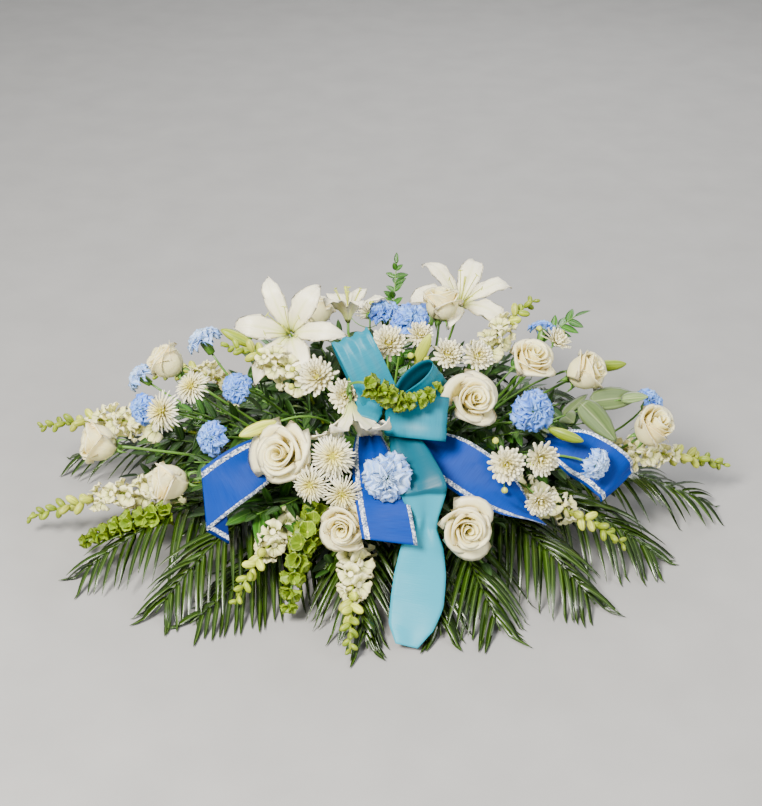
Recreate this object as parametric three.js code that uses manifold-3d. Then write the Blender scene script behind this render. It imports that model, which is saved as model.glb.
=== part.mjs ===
// A casket spray: an oval mound of cut flowers in blue and white, made in a holder that stands on a flat lid.
// A green tray with a cage holds a block of floral foam, and every stem is pushed into that block.
// Roses, lilies, carnations, chrysanthemums, snapdragons and bells of Ireland stand out of it all round, palm
// fronds and leafy stems lie under them, and a satin bow with wide ribbons sits at the front.
// Millimetres, +Z up, the front towards -Y. The origin is the middle of the tray's underside.
import * as THREE from "three";
import Module from "manifold-3d";

const wasm = await Module();
wasm.setup();
const { Manifold } = wasm;

// Driving dimensions
const GAP = 0.45; // between neighbouring solids
const STEM_GAP = 1.8; // between a stem and everything else
const HOLE_GAP = 0.35; // round each stem in the foam
const LOWEST = 2.5; // nothing but the tray comes nearer to the lid than this
const TRAY = { length: 400, depth: 142, height: 26, wall: 2.6, floor: 3 };
const FOAM = { length: 384, depth: 126, top: 98 };
const CAGE = { bar: 4, hoops: [-165, -55, 55, 165] };
const RIBBON = { width: 80, thick: 0.8 };
const PETAL = 0.9; // thickness of thin petals and leaves
const FLATNESS = 0.05; // faces flatter than this become one
const STEM = 2.4; // radius of an ordinary stem
const FORK = 0.36; // where on a stem its branches leave
const ROSE = { petals: 4, columns: 12 };
const CARNATION = { columns: 10 };
const FROND = { pairs: 8, base: 9 };

// Small vector helpers
const vec = (x, y, z) => new THREE.Vector3(x, y, z);
const point = (list) => new THREE.Vector3(...list);
const unit = (list) => point(list).normalize();
const along = (from, direction, distance) => from.clone().addScaledVector(direction, distance);
const turn = (share) => share * 2 * Math.PI;
const mix = (from, to, share) => from + (to - from) * share;
const middleOf = (corners) => corners.reduce((sum, corner) => sum.add(corner), vec(0, 0, 0)).divideScalar(4);

const GUIDES = [vec(0, 0, 1), vec(0, -1, 0), vec(1, 0, 0)];
const STEEP = 0.95; // an axis this near to a guide needs another one

// Two directions square to an axis: side x rise = axis, with side square to the guide too.
function square(axis, guide = GUIDES.find((other) => Math.abs(axis.dot(other)) < STEEP)) {
  const side = guide.clone().cross(axis).normalize();
  return { side, rise: axis.clone().cross(side).normalize() };
}

// Closed solids

// Skins a row of rings, listed from root to tip, into one closed solid. A ring of one point is a pole.
// Of four sides, the opposite ones are split into triangles along the same diagonal, so a twisted blade keeps
// its thickness.
// outgrowth(row, column, corners) may return sections of four corners, and a last one of one point, that
// grow out of that quad as a petal, a floret or a leaf.
function skin(rings, outgrowth = () => null) {
  const points = [];
  const triangles = [];
  const add = (p) => points.push(p) - 1;
  const face = (...corners) => {
    for (let k = 2; k < corners.length; k++) triangles.push(corners[0], corners[k - 1], corners[k]);
  };
  const quad = (a, b, c, d, mirrored) => (mirrored ? face(b, c, d, a) : face(a, b, c, d));
  const grow = (corners, sections) => {
    let rim = corners;
    for (const section of sections) {
      const next = section.map(add);
      for (let s = 0; s < 4; s++) {
        const t = (s + 1) % 4;
        if (next.length === 1) face(rim[s], rim[t], next[0]);
        else quad(rim[s], rim[t], next[t], next[s], s > 1);
      }
      rim = next;
    }
    if (rim.length === 4) face(...rim);
  };
  const index = rings.map((ring) => ring.map(add));
  if (index[0].length > 1) face(...index[0].toReversed());
  if (index.at(-1).length > 1) face(...index.at(-1));
  for (let row = 0; row + 1 < index.length; row++) {
    const low = index[row];
    const high = index[row + 1];
    const columns = Math.max(low.length, high.length);
    for (let column = 0; column < columns; column++) {
      const next = (column + 1) % columns;
      if (low.length === 1) {
        face(low[0], high[next], high[column]);
      } else if (high.length === 1) {
        face(low[column], low[next], high[0]);
      } else {
        const corners = [low[column], low[next], high[next], high[column]];
        const sections = outgrowth(row, column, corners.map((c) => points[c]));
        if (sections) grow(corners, sections);
        else quad(...corners, columns === 4 && column > 1);
      }
    }
  }
  return new Manifold(
    new wasm.Mesh({
      numProp: 3,
      vertProperties: Float32Array.from(points.flatMap((p) => [p.x, p.y, p.z])),
      triVerts: Uint32Array.from(triangles),
    }),
  );
}

// A ring of points round a centre. reach(share of the turn) gives [radius, height along the axis].
function ringAt(centre, axis, columns, reach, shift = 0, guide = undefined) {
  const { side, rise } = square(axis, guide);
  return Array.from({ length: columns }, (_, column) => {
    const angle = turn((column + shift) / columns);
    const [radius, height] = reach(column / columns);
    return along(centre, axis, height)
      .addScaledVector(side, radius * Math.cos(angle))
      .addScaledVector(rise, radius * Math.sin(angle));
  });
}

// A closed body turned round an axis, whose profile may wave with the angle.
// The profile is a list of (share of the turn) => [radius, height], and both its ends are poles.
function turned(base, axis, columns, profile) {
  const last = profile.length - 1;
  const rings = profile.map((reach, row) =>
    row === 0 || row === last ? [along(base, axis, reach(0)[1])] : ringAt(base, axis, columns, reach),
  );
  return skin(rings);
}

// A box between two corners
function box(low, high) {
  const level = (z) => [
    vec(low[0], low[1], z),
    vec(high[0], low[1], z),
    vec(high[0], high[1], z),
    vec(low[0], high[1], z),
  ];
  return skin([level(low[2]), level(high[2])]);
}

// The rings of a stem along a curve, at some shares of its way. One side or point of each ring is on top.
function stemRings({ curve, radii, sides }, shares, growth = 0) {
  const shift = sides === 3 ? -0.25 : -0.5;
  const tangents = THIRDS.map((share) => curve.getTangent(share));
  const guide = GUIDES.find((other) => tangents.every((axis) => Math.abs(axis.dot(other)) < STEEP));
  return shares.map((share) => {
    const radius = mix(...radii, share) + growth;
    return ringAt(curve.getPoint(share), curve.getTangent(share), sides, () => [radius, 0], shift, guide);
  });
}
const THIRDS = [0, 1 / 3, 2 / 3, 1];
const TENTHS = Array.from({ length: 11 }, (_, k) => k / 10);

// The sections of a blade that grows out of a quad. It leaves along out, and bend shifts its tip.
// sizes lists [share of the length, half size along the quad's first edge, full size across it].
// A pointed blade ends in one point.
function blade(corners, { out, length, bend = vec(0, 0, 0), sizes, pointed = true }) {
  const root = middleOf(corners);
  const edge = corners[1].clone().sub(corners[0]);
  const centre = (share) => along(root, out, length * share).addScaledVector(bend, share * share);
  const sections = sizes.map(([share, half, full]) => {
    const forward = out.clone().multiplyScalar(length).addScaledVector(bend, 2 * share).normalize();
    const across = edge.clone().addScaledVector(forward, -edge.dot(forward)).normalize();
    const up = forward.clone().cross(across);
    const corner = (left, top) =>
      along(centre(share), across, left * half).addScaledVector(up, (top * full) / 2);
    return [corner(-1, -1), corner(1, -1), corner(1, 1), corner(-1, 1)];
  });
  return pointed ? [...sections, [centre(1)]] : sections;
}

// Room between the pieces

// Every solid that is in its place, with the piece that it belongs to
const placed = [];
const foamBlock = box(
  [-FOAM.length / 2, -FOAM.depth / 2, TRAY.floor + GAP],
  [FOAM.length / 2, FOAM.depth / 2, FOAM.top],
);

function place(owner, solid) {
  placed.push({ owner, solid, extent: solid.boundingBox() });
  return solid;
}

// True where a solid stays above the lid and keeps its gap to every other piece.
function hasRoom(owner, solid, gap = GAP) {
  const extent = solid.boundingBox();
  const near = (other) =>
    [0, 1, 2].every((k) => extent.min[k] < other.max[k] + gap && other.min[k] < extent.max[k] + gap);
  const clear = (other) => !near(other.extent) || solid.minGap(other.solid, 2 * gap) > gap;
  return extent.min[2] > LOWEST && placed.every((other) => other.owner === owner || clear(other));
}

// An outgrowth rule that tries blades in turn and keeps the first with room, clear of its own neighbours too.
// candidates(row, column, corners) returns a list of section lists, the best one first.
function growWhereClear(owner, candidates) {
  const kept = [];
  const crosses = (a, b) => a.intersect(b).volume() > 1e-3;
  return (row, column, corners) => {
    for (const sections of candidates(row, column, corners)) {
      const whole = skin([corners, ...sections]);
      if (kept.some((other) => crosses(other, whole)) || !hasRoom(owner, whole)) continue;
      if (whole.minGap(foamBlock, 2 * GAP) < GAP) continue;
      kept.push(whole);
      return sections;
    }
    return null;
  };
}

// Detours that a stem may take on its way, the straight way first: [sideways, upwards]
const DETOURS = [[0, 0]];
for (const reach of [8, 16, 26, 38, 52, 70]) {
  for (let k = 0; k < 8; k++) {
    DETOURS.push([reach * Math.cos(turn(k / 8)), reach * Math.sin(turn(k / 8))]);
  }
}

const ROOT_SHIFT = 0.25;

// Where the stem of a flower at head ends inside the foam: neighbours' stems keep their order.
function rootOf(head) {
  return vec(head.x * 0.3, THREE.MathUtils.clamp(head.y * 0.16, -46, 46), 32 + 0.09 * head.z);
}

// Every stem that stands in the foam: { curve, radii, sides, shares }
const stems = [];

// Routes a stem from the foam, or from a fork on another stem, to end, past everything in its way.
// It arrives at end along axis, or past the point control.
function route(owner, end, axis, { radii = [STEM, STEM], sides = 3, fork = null, control = null } = {}) {
  const from = fork ?? rootOf(end);
  const { side, rise } = square(end.clone().sub(from).normalize());
  const handle = control ?? along(end, axis, -0.4 * end.distanceTo(from));
  for (const [sideways, upwards] of DETOURS) {
    const shifted = (middle, share) =>
      along(middle, side, share * sideways).addScaledVector(rise, share * upwards);
    const start = fork ?? shifted(from, ROOT_SHIFT);
    const bent = shifted(handle, 1);
    const stem = { curve: new THREE.QuadraticBezierCurve3(start, bent, end), radii, sides, shares: THIRDS };
    const tube = skin(stemRings(stem, THIRDS));
    if (fork && tube.minGap(foamBlock, 2 * GAP) < GAP) continue;
    if (control && !hasRoom(owner, skin(stemRings(stem, TENTHS)), STEM_GAP)) continue;
    if (hasRoom(owner, tube, STEM_GAP)) {
      place(owner, tube);
      if (!fork) stems.push(stem);
      return { ...stem, tube };
    }
  }
  throw new Error(`${owner}: every way for a stem is blocked`);
}

// The finished nodes: { name, solid, finish }
const nodes = [];
function keep(name, finish, solid) {
  nodes.push({ name, finish, solid: solid.asOriginal().simplify(FLATNESS) });
}

const FINISH = {
  plastic: { color: 0x1f4a2c, roughness: 0.5 },
  foam: { color: 0x2f6b3a, roughness: 0.95 },
  teal: { color: 0x3fa3b8, roughness: 0.35 },
  royal: { color: 0x0f55b8, roughness: 0.4 },
  cream: { color: 0xf3ead6, roughness: 0.7 },
  white: { color: 0xf4f0ea, roughness: 0.7 },
  sky: { color: 0x7fb0e8, roughness: 0.8 },
  lime: { color: 0xc4d46a, roughness: 0.7 },
  bells: { color: 0x8fb52a, roughness: 0.7 },
  leaf: { color: 0x2c5423, roughness: 0.55 },
};

// The holder: a tray with upright walls, and a cage of bars that stands on its rim and holds the foam down
function holderTray() {
  const [x, y] = [TRAY.length / 2, TRAY.depth / 2];
  const inside = box(
    [-x + TRAY.wall, -y + TRAY.wall, TRAY.floor],
    [x - TRAY.wall, y - TRAY.wall, TRAY.height + 1],
  );
  return box([-x, -y, 0], [x, y, TRAY.height]).subtract(inside);
}

function holderCage() {
  const { bar, hoops } = CAGE;
  const [x, y] = [TRAY.length / 2, TRAY.depth / 2];
  const foot = TRAY.height + GAP;
  const top = FOAM.top + GAP + bar;
  const hoop = (at) => [
    box([at - bar / 2, -y, top - bar], [at + bar / 2, y, top]),
    box([at - bar / 2, -y, foot], [at + bar / 2, -y + bar, top]),
    box([at - bar / 2, y - bar, foot], [at + bar / 2, y, top]),
  ];
  return Manifold.union([
    ...hoops.flatMap(hoop),
    box([-x, -y, foot], [x, -y + bar, foot + bar]),
    box([-x, y - bar, foot], [x, y, foot + bar]),
    box([-x, -y, foot], [-x + bar, y, foot + bar]),
    box([x - bar, -y, foot], [x, y, foot + bar]),
    box([hoops[0], -bar / 2, top - bar], [hoops.at(-1), bar / 2, top]),
  ]);
}

// Ribbons

// A flat strip of ribbon through stations, each { at, across, share }: a point, the direction of its width
// there, and the share of its full width.
function ribbonStrip(line) {
  const last = line.length - 1;
  const rings = line.map(({ at, across, share }, k) => {
    const forward = line[Math.min(last, k + 1)].at.clone().sub(line[Math.max(0, k - 1)].at).normalize();
    const side = across.clone().addScaledVector(forward, -across.dot(forward)).normalize();
    const up = forward.clone().cross(side);
    const corner = (left, top) =>
      along(at, side, (left * share * RIBBON.width) / 2).addScaledVector(up, (top * RIBBON.thick) / 2);
    return [corner(-1, -1), corner(1, -1), corner(1, 1), corner(-1, 1)];
  });
  return skin(rings);
}
const stations = (list) =>
  list.map(([at, across, share]) => ({ at: point(at), across: unit(across), share }));

// The satin bow: its knot, its loops [direction, width direction, length, height] and its long tail
const KNOT = vec(28, -178, 272);
const LOOPS = [
  [[-0.52, 0.4, 0.76], [0.75, -0.45, 0.5], 150, 34],
  [[0.42, 0.38, 0.82], [0.75, -0.6, -0.2], 90, 25],
  [[0.86, -0.5, 0], [-0.05, 0.1, 1], 80, 29],
  [[-0.9, 0.25, 0.2], [0.1, 0.1, 1], 56, 11],
];
const TAIL = [
  [[30, -184, 262], [1, 0.1, 0], 0.2],
  [[42, -222, 232], [1, 0.1, 0.1], 0.6],
  [[56, -270, 198], [0.95, 0.1, 0.35], 0.85],
  [[74, -298, 172], [0.7, -0.5, 0.5], 0.8],
  [[68, -322, 138], [0.8, -0.5, -0.2], 0.7],
  [[60, -345, 98], [1, -0.1, -0.1], 1],
  [[52, -372, 48], [1, 0.05, 0], 1],
  [[46, -402, 14], [1, 0.05, 0], 0.9],
  [[42, -428, 8], [1, 0, 0], 0.5],
];

// One loop: a teardrop that leaves the knot narrow, opens out and comes back to it.
function bowLoop(direction, across, length, height) {
  const steps = 7;
  const out = unit(direction);
  const side = unit(across);
  side.addScaledVector(out, -side.dot(out)).normalize();
  const up = out.clone().cross(side);
  const line = Array.from({ length: steps + 1 }, (_, step) => {
    const share = step / steps;
    const swell = height * Math.sin(turn(share)) * Math.sqrt(Math.sin(Math.PI * share));
    const spread = mix(-1.5, 1.5, share);
    const reach = (length * (1 - Math.cos(turn(share)))) / 2;
    const at = along(KNOT, out, reach).addScaledVector(up, spread - swell);
    return { at, across: side, share: step === 0 || step === steps ? 0.15 : 1 };
  });
  return ribbonStrip(line);
}

function bowSolid() {
  const knot = turned(along(KNOT, vec(0, 1, 0), 4), vec(0, -1, 0), 8, [
    () => [0, -10],
    () => [11, -9],
    () => [15, 0],
    () => [11, 9],
    () => [0, 10],
  ]);
  return Manifold.union([knot, ribbonStrip(stations(TAIL)), ...LOOPS.map((loop) => bowLoop(...loop))]);
}

// The wide ribbons: [name, strips], each strip a list of [point, width direction, width share] from its pick
const BANNERS = [
  ["banner_left", [[
    [[-150, -170, 190], [0, 0.45, 0.9], 0.35],
    [[-200, -218, 188], [0, 0.45, 0.9], 0.8],
    [[-240, -248, 178], [0, 0.45, 0.9], 1],
    [[-263, -262, 166], [0, 0.45, 0.9], 1],
    [[-275, -250, 158], [0, 0.45, 0.9], 1],
    [[-268, -236, 151], [0, 0.45, 0.9], 1],
    [[-240, -230, 143], [0, 0.45, 0.9], 1],
  ]]],
  ["banner_front", [
    [
      [[-20, -168, 215], [1, 0, 0], 0.3],
      [[-18, -205, 200], [1, -0.1, 0], 0.5],
      [[-14, -245, 173], [1, -0.1, 0], 0.75],
      [[-6, -285, 140], [1, -0.05, 0], 1],
      [[4, -318, 100], [1, 0, -0.1], 1],
    ],
    [
      [[52, -150, 205], [0.6, 0.46, 0.53], 0.3],
      [[98, -205, 206], [0.6, 0.46, 0.53], 0.9],
      [[145, -238, 190], [0.55, 0.55, 0.5], 1],
      [[195, -266, 166], [0.35, 0.75, 0.15], 0.9],
      [[250, -290, 134], [0, 0.8, -0.6], 0.5],
    ],
  ]],
  ["banner_far_right", [[
    [[262, -130, 190], [0, 0.5, 0.85], 0.35],
    [[312, -162, 192], [0, 0.5, 0.85], 1],
    [[350, -184, 180], [0.1, 0.5, 0.85], 1],
    [[374, -196, 158], [0.4, 0.4, 0.6], 1],
    [[378, -192, 130], [0.6, 0.5, 0.3], 1],
  ]]],
];

// Blooms
// Each bloom function returns its solid round a given middle, and footOf gives the point where its stem ends.

// Roses: [name, middle of the bloom, axis, radius, how far open from 0 to 1]
const ROSES = [
  ["rose_upper_left", [-345, 0, 250], [-0.76, 0, 0.65], 31, 0.1],
  ["rose_far_left", [-455, -100, 150], [-0.92, -0.25, 0.3], 32, 0.1],
  ["rose_lower_left", [-325, -225, 165], [-0.85, -0.35, 0.1], 34, 0.2],
  ["rose_open_left", [-155, -250, 235], [-0.35, -0.75, 0.55], 48, 1],
  ["rose_top_right", [105, 95, 325], [0.05, -0.1, 1], 33, 0.2],
  ["rose_centre_right", [140, -170, 285], [0.35, -0.7, 0.6], 41, 0.7],
  ["rose_right_back", [240, -60, 290], [0.35, -0.35, 0.85], 36, 0.5],
  ["rose_right", [325, -50, 262], [0.75, -0.2, 0.6], 34, 0.2],
  ["rose_far_right", [430, -95, 185], [0.5, -0.35, 0.8], 33, 0.1],
  ["rose_lower_right", [132, -323, 145], [0.15, -0.85, 0.35], 42, 0.8],
  ["rose_lower_centre", [-50, -330, 140], [-0.15, -0.9, 0.3], 40, 0.8],
  ["rose_back", [-120, 200, 240], [-0.2, 0.7, 0.7], 38, 0.6],
];

// A rose is three cups inside each other, in one skin that runs up each cup, over its lip and down into the
// groove behind it. Each lip climbs along a petal and drops where the next petal starts.
const roseHeight = (radius, open) => radius * mix(1.9, 1.15, open);
function roseBloom(middle, axis, radius, open) {
  const height = roseHeight(radius, open);
  const lip = (size, level, shift) => (share) => {
    const climb = ((share * ROSE.petals + shift) % 1) - 0.5;
    return [radius * size * (1 + 0.15 * climb), height * level + radius * 0.16 * climb];
  };
  return turned(along(middle, axis, -height / 2), axis, ROSE.columns, [
    () => [0, 0],
    () => [radius * mix(0.45, 0.5, open), height * 0.06],
    lip(mix(0.93, 0.82, open), 0.45, 0),
    lip(mix(0.85, 1, open), mix(0.84, 0.72, open), 0),
    lip(mix(0.62, 0.72, open), mix(0.72, 0.6, open), 0),
    lip(mix(0.58, 0.62, open), mix(0.95, 0.92, open), 0.33),
    lip(mix(0.4, 0.42, open), mix(0.84, 0.76, open), 0.33),
    lip(mix(0.26, 0.24, open), 1, 0.67),
    () => [0, height * mix(0.86, 0.84, open)],
  ]);
}

// Carnations: [name, blooms], each bloom [middle, axis, radius]
const CARNATIONS = [
  ["carnation_upper_left", [[[-300, 55, 268], [-0.5, 0.2, 0.85], 34]]],
  ["carnations_far_left", [
    [[-405, 10, 222], [-0.8, 0.1, 0.6], 28],
    [[-385, -95, 220], [-0.5, -0.7, 0.4], 28],
  ]],
  ["carnation_left", [[[-228, -125, 278], [-0.3, -0.75, 0.5], 27]]],
  ["carnation_lower_left", [[[-262, -200, 228], [-0.5, -0.7, 0.4], 30]]],
  ["carnation_front", [[[10, -290, 215], [0, -0.9, 0.4], 37]]],
  ["carnations_top", [[[5, 59, 319], [-0.1, 0, 1], 30], [[50, 15, 325], [0.2, -0.5, 0.8], 35]]],
  ["carnation_right", [[[232, -165, 268], [0.2, -0.8, 0.5], 37]]],
  ["carnation_lower_right", [[[328, -215, 190], [0.6, -0.7, 0.2], 28]]],
  ["carnation_far_right", [[[440, -20, 200], [0.5, -0.1, 0.85], 27]]],
  ["carnations_back", [[[275, 70, 280], [0.3, 0.5, 0.8], 27], [[90, 235, 225], [0.1, 0.8, 0.6], 32]]],
];

// A carnation is a calyx tube under three frilled tiers, in one skin whose rims zigzag.
function carnationBloom(middle, axis, radius) {
  const height = radius * 1.25;
  const frill = (size, level, shift) => (share) => {
    const zigzag = (Math.round(share * CARNATION.columns) + shift) % 2 ? 1 : -1;
    return [radius * size * (1 + 0.09 * zigzag), height * level + radius * 0.1 * zigzag];
  };
  return turned(along(middle, axis, -height / 2), axis, CARNATION.columns, [
    () => [0, -height * 0.4],
    () => [radius * 0.26, height * 0.1],
    frill(0.96, 0.45, 0),
    frill(0.7, 0.52, 1),
    frill(0.74, 0.78, 1),
    frill(0.44, 0.76, 0),
    frill(0.4, 1, 0),
    () => [0, height * 0.88],
  ]);
}

// Lilies: [name, throat, axis, petal length, how far open, petals, stamens or not, buds]
// A bud is [root, axis, length], on a branch of the same stem.
const LILIES = [
  ["lily_left", [-150, 0, 305], [-0.15, -0.75, 0.65], 92, 1, 6, true, [
    [[-205, -32, 300], [-0.85, 0.1, 0.45], 60],
    [[-160, -200, 262], [-0.85, -0.45, -0.1], 62],
  ]],
  ["lily_back", [-55, 60, 310], [0, 0.3, 0.95], 72, 0.75, 6, true, []],
  ["lily_right", [145, 165, 295], [0.25, 0.2, 0.95], 90, 0.95, 6, true, []],
  ["lily_centre", [-42, -200, 262], [0.05, -0.8, -0.45], 64, 0.7, 5, false, [
    [[55, -88, 300], [0.35, -0.05, 0.9], 54],
  ]],
];
const BUDS_RIGHT = [[[345, -2, 245], [1, 0, 0.1], 60], [[262, -172, 232], [0.9, -0.3, -0.2], 56]];

// A lily is long petals that leave a short throat and curl back, by turns broad and narrow, round six
// stamens.
function lilyBloom(name, throat, axis, length, open, petals, stamens) {
  const width = length * 0.17;
  const rings = [
    [along(throat, axis, -length * 0.32)],
    ringAt(throat, axis, petals, () => [4.5, -length * 0.2]),
    ringAt(throat, axis, petals, () => [width * 0.8, -length * 0.02]),
    ringAt(throat, axis, petals, () => [width * 0.45, length * 0.03]),
    [along(throat, axis, length * 0.06)],
  ];
  return skin(rings, growWhereClear(name, (row, column, corners) => {
    const away = middleOf(corners).sub(throat);
    away.addScaledVector(axis, -away.dot(axis)).normalize();
    const petal = (size) => {
      const half = width * size * (column % 2 ? 1 : 0.72);
      return blade(corners, {
        out: away.clone().multiplyScalar(open).add(axis).normalize(),
        length: length * size,
        bend: away.clone().multiplyScalar(length * 0.25 * open).addScaledVector(axis, -length * 0.42 * open),
        sizes: [[0.35, half * 0.95, 1], [0.75, half * 0.85, 1]],
      });
    };
    const stamen = () => blade(corners, {
      out: along(axis, away, 0.35).normalize(),
      length: length * 0.6,
      bend: away.clone().multiplyScalar(length * 0.1),
      sizes: [[0.85, 1.2, 2]],
    });
    if (row === 1) return [petal(1), petal(0.85), petal(0.7), petal(0.5)];
    return row === 2 && stamens ? [stamen()] : [];
  }));
}

// A closed lily bud: a long spindle with three grooves between its petals
function budSolid(root, axis, length) {
  const size = (radius, level) => (share) => [
    radius * length * (1 + 0.14 * Math.cos(turn(3 * share))),
    level * length,
  ];
  const tip = () => [0, length];
  return turned(root, axis, 6, [() => [0, 0], size(0.09, 0.08), size(0.17, 0.45), size(0.13, 0.78), tip]);
}

// Chrysanthemum sprays: [name, spider petals or not, blooms], each bloom [middle, axis, radius]
const MUMS = [
  ["mums_left", false, [
    [[-100, -125, 312], [-0.2, -0.7, 0.7], 33],
    [[-55, -172, 292], [0.1, -0.8, 0.6], 28],
  ]],
  ["mums_top", false, [[[5, -75, 332], [-0.1, -0.6, 0.8], 31], [[62, -45, 328], [0.2, -0.6, 0.8], 24]]],
  ["mums_right", false, [[[105, -85, 316], [0.1, -0.6, 0.75], 27], [[152, -95, 318], [0.3, -0.6, 0.75], 27]]],
  ["mums_lower_right", false, [
    [[185, -248, 225], [0, -0.85, 0.5], 30],
    [[243, -240, 222], [0.3, -0.85, 0.4], 29],
    [[240, -285, 175], [0.2, -0.95, 0.15], 26],
  ]],
  ["mums_right_back", false, [
    [[290, 15, 285], [0.5, -0.1, 0.85], 27],
    [[200, 165, 240], [0.4, 0.6, 0.7], 30],
  ]],
  ["mums_back", false, [[[-20, 245, 215], [0, 0.9, 0.5], 30], [[-235, 165, 215], [-0.4, 0.7, 0.6], 30]]],
  ["spider_mums_left", true, [
    [[-345, -130, 238], [-0.5, -0.65, 0.5], 34],
    [[-300, -105, 268], [-0.4, -0.5, 0.8], 30],
  ]],
  ["spider_mums_front", true, [
    [[-72, -262, 240], [0, -0.8, 0.6], 36],
    [[-105, -285, 205], [-0.3, -0.85, 0.3], 30],
    [[-58, -295, 195], [0.05, -0.95, 0.2], 30],
  ]],
];

// A chrysanthemum is a small dome with three rings of petals, the lowest ring the longest and flattest.
function mumBloom(name, middle, axis, radius, spider) {
  const columns = spider ? 9 : 8;
  const core = radius * 0.32;
  const levels = [[0.5, -0.15], [0.95, 0.1], [0.9, 0.55], [0.5, 0.95]];
  const rings = [
    [along(middle, axis, -core)],
    ...levels.map(([size, level]) => ringAt(middle, axis, columns, () => [core * size, core * level])),
    [along(middle, axis, core * 1.15)],
  ];
  const lengths = [0, 1, 0.9, 0.62];
  const lifts = [0, 0.12, 0.6, 1.6];
  return skin(rings, growWhereClear(name, (row, column, corners) => {
    if (row === 0 || row > 3) return [];
    const away = middleOf(corners).sub(middle);
    away.addScaledVector(axis, -away.dot(axis)).normalize();
    const petal = (size) => blade(corners, {
      out: along(away, axis, lifts[row]).normalize(),
      length: (radius * lengths[row] - core * 0.6) * size,
      bend: axis.clone().multiplyScalar(radius * (spider ? 0.22 : 0.12)),
      sizes: row === 1 ? [[0.62, radius * (spider ? 0.07 : 0.16), spider ? 1.8 : PETAL]] : [],
    });
    return [petal(1), petal(0.8), petal(0.6)];
  }));
}

// Spikes

// Snapdragons: [name, spikes], each spike [tip, bend point, length of the flowering part]
const SNAPDRAGONS = [
  ["snapdragon_upper_left", [-595, 40, 105], [-380, -20, 190], 230],
  ["snapdragon_lower_left", [-600, -130, 45], [-400, -200, 150], 270],
  ["snapdragon_left_hanging", [-230, -355, 25], [-170, -300, 150], 190],
  ["snapdragon_front", [-40, -440, 18], [-50, -370, 110], 190],
  ["snapdragon_far_right", [585, -5, 70], [400, -130, 190], 260],
  ["snapdragon_lower_right", [380, -265, 75], [270, -260, 180], 220],
  ["snapdragon_inner_left", [-255, -60, 318], [-110, -100, 330], 150],
  ["snapdragon_upper_right", [265, 140, 295], [190, 60, 300], 150],
  ["snapdragon_back", [-420, 230, 90], [-280, 150, 190], 230],
];

// The shares of a stem's way below its flowering or leafy part, which starts at the share from
const bareShares = ({ shares }, from) => [...shares.filter((share) => share < from - 0.04), from - 0.02];

// The direction square to a stem in which the quad between two shares faces
function facing({ curve }, corners, share) {
  const axis = curve.getTangent(share);
  const away = middleOf(corners).sub(curve.getPoint(share));
  return { axis, away: away.addScaledVector(axis, -away.dot(axis)).normalize() };
}

// A spike's stem carries florets on every other side: open two-lipped ones low down, round buds above them.
function snapdragonSpike(name, stem, flowering) {
  const rows = 7;
  const from = 1 - flowering / stem.curve.getLength();
  const bare = bareShares(stem, from);
  const shares = [...bare];
  for (let row = 0; row <= rows; row++) shares.push(mix(from, 0.98, row / rows));
  const rings = stemRings(stem, shares);
  rings.push([along(stem.curve.getPoint(1), stem.curve.getTangent(1), 6)]);
  return skin(rings, growWhereClear(name, (row, column, corners) => {
    const level = row - bare.length;
    if (level < 0 || level >= rows || (row + column) % 2) return [];
    const ripe = 1 - level / rows;
    const { axis, away } = facing(stem, corners, (shares[row] + shares[row + 1]) / 2);
    const out = along(away, axis, 0.5).normalize();
    const open = (size) => blade(corners, {
      out,
      length: 27 * size,
      bend: axis.clone().multiplyScalar(-7 * size),
      sizes: [[0.75, 11.5 * size, 11 * size], [1, 11 * size, 3]],
      pointed: false,
    });
    const bud = (size) => blade(corners, {
      out,
      length: (9 + 16 * ripe) * size,
      sizes: [[0.5, (2.5 + 5 * ripe) * size, (4 + 9 * ripe) * size]],
    });
    return ripe > 0.5 ? [open(1), open(0.8), bud(0.8)] : [bud(1), bud(0.7)];
  }));
}

// Bells of Ireland: [name, tip, bend point, length of the flowering part]
const BELLS = [
  ["bells_left_hanging", [-140, -365, 30], [-125, -310, 180], 180],
  ["bells_lower_left", [-480, -195, 30], [-380, -225, 110], 150],
];
// The third stem comes up between the ribbons and lies across the front of the bow.
const BELLS_CENTRE = {
  path: [
    [6, -44, 62],
    [8, -130, 150],
    [10, -200, 214],
    [8, -218, 262],
    [16, -224, 304],
    [48, -220, 334],
    [96, -208, 338],
  ],
  flowering: 95,
};

// Whorls of flared cups. Each cup is a quad of the stem, drawn out to a wide mouth and back in to its bottom.
function bellsSpike(name, stem, flowering) {
  const whorls = Math.round(flowering / 32);
  const from = 1 - flowering / stem.curve.getLength();
  const bare = bareShares(stem, from);
  const shares = [...bare];
  for (let whorl = 0; whorl < whorls; whorl++) {
    const share = mix(from, 1, (whorl + 0.1) / whorls);
    shares.push(share, share + ((1 - from) * 0.35) / whorls);
  }
  const rings = stemRings(stem, shares);
  rings.push([along(stem.curve.getPoint(1), stem.curve.getTangent(1), 3)]);
  return skin(rings, growWhereClear(name, (row, column, corners) => {
    const level = row - bare.length;
    if (level < 0 || level % 2 || level >= 2 * whorls) return [];
    const { axis, away } = facing(stem, corners, (shares[row] + shares[row + 1]) / 2);
    const out = along(away, axis, 0.55).normalize();
    const cup = (size) => {
      const mouth = blade(corners, {
        out,
        length: 18 * size,
        sizes: [[1, 11 * size, 20 * size], [1, 9.2 * size, 16.5 * size]],
        pointed: false,
      });
      return [...mouth, [along(middleOf(corners), out, 6 * size)]];
    };
    return [cup(1), cup(0.75)];
  }));
}

// Greenery

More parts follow.
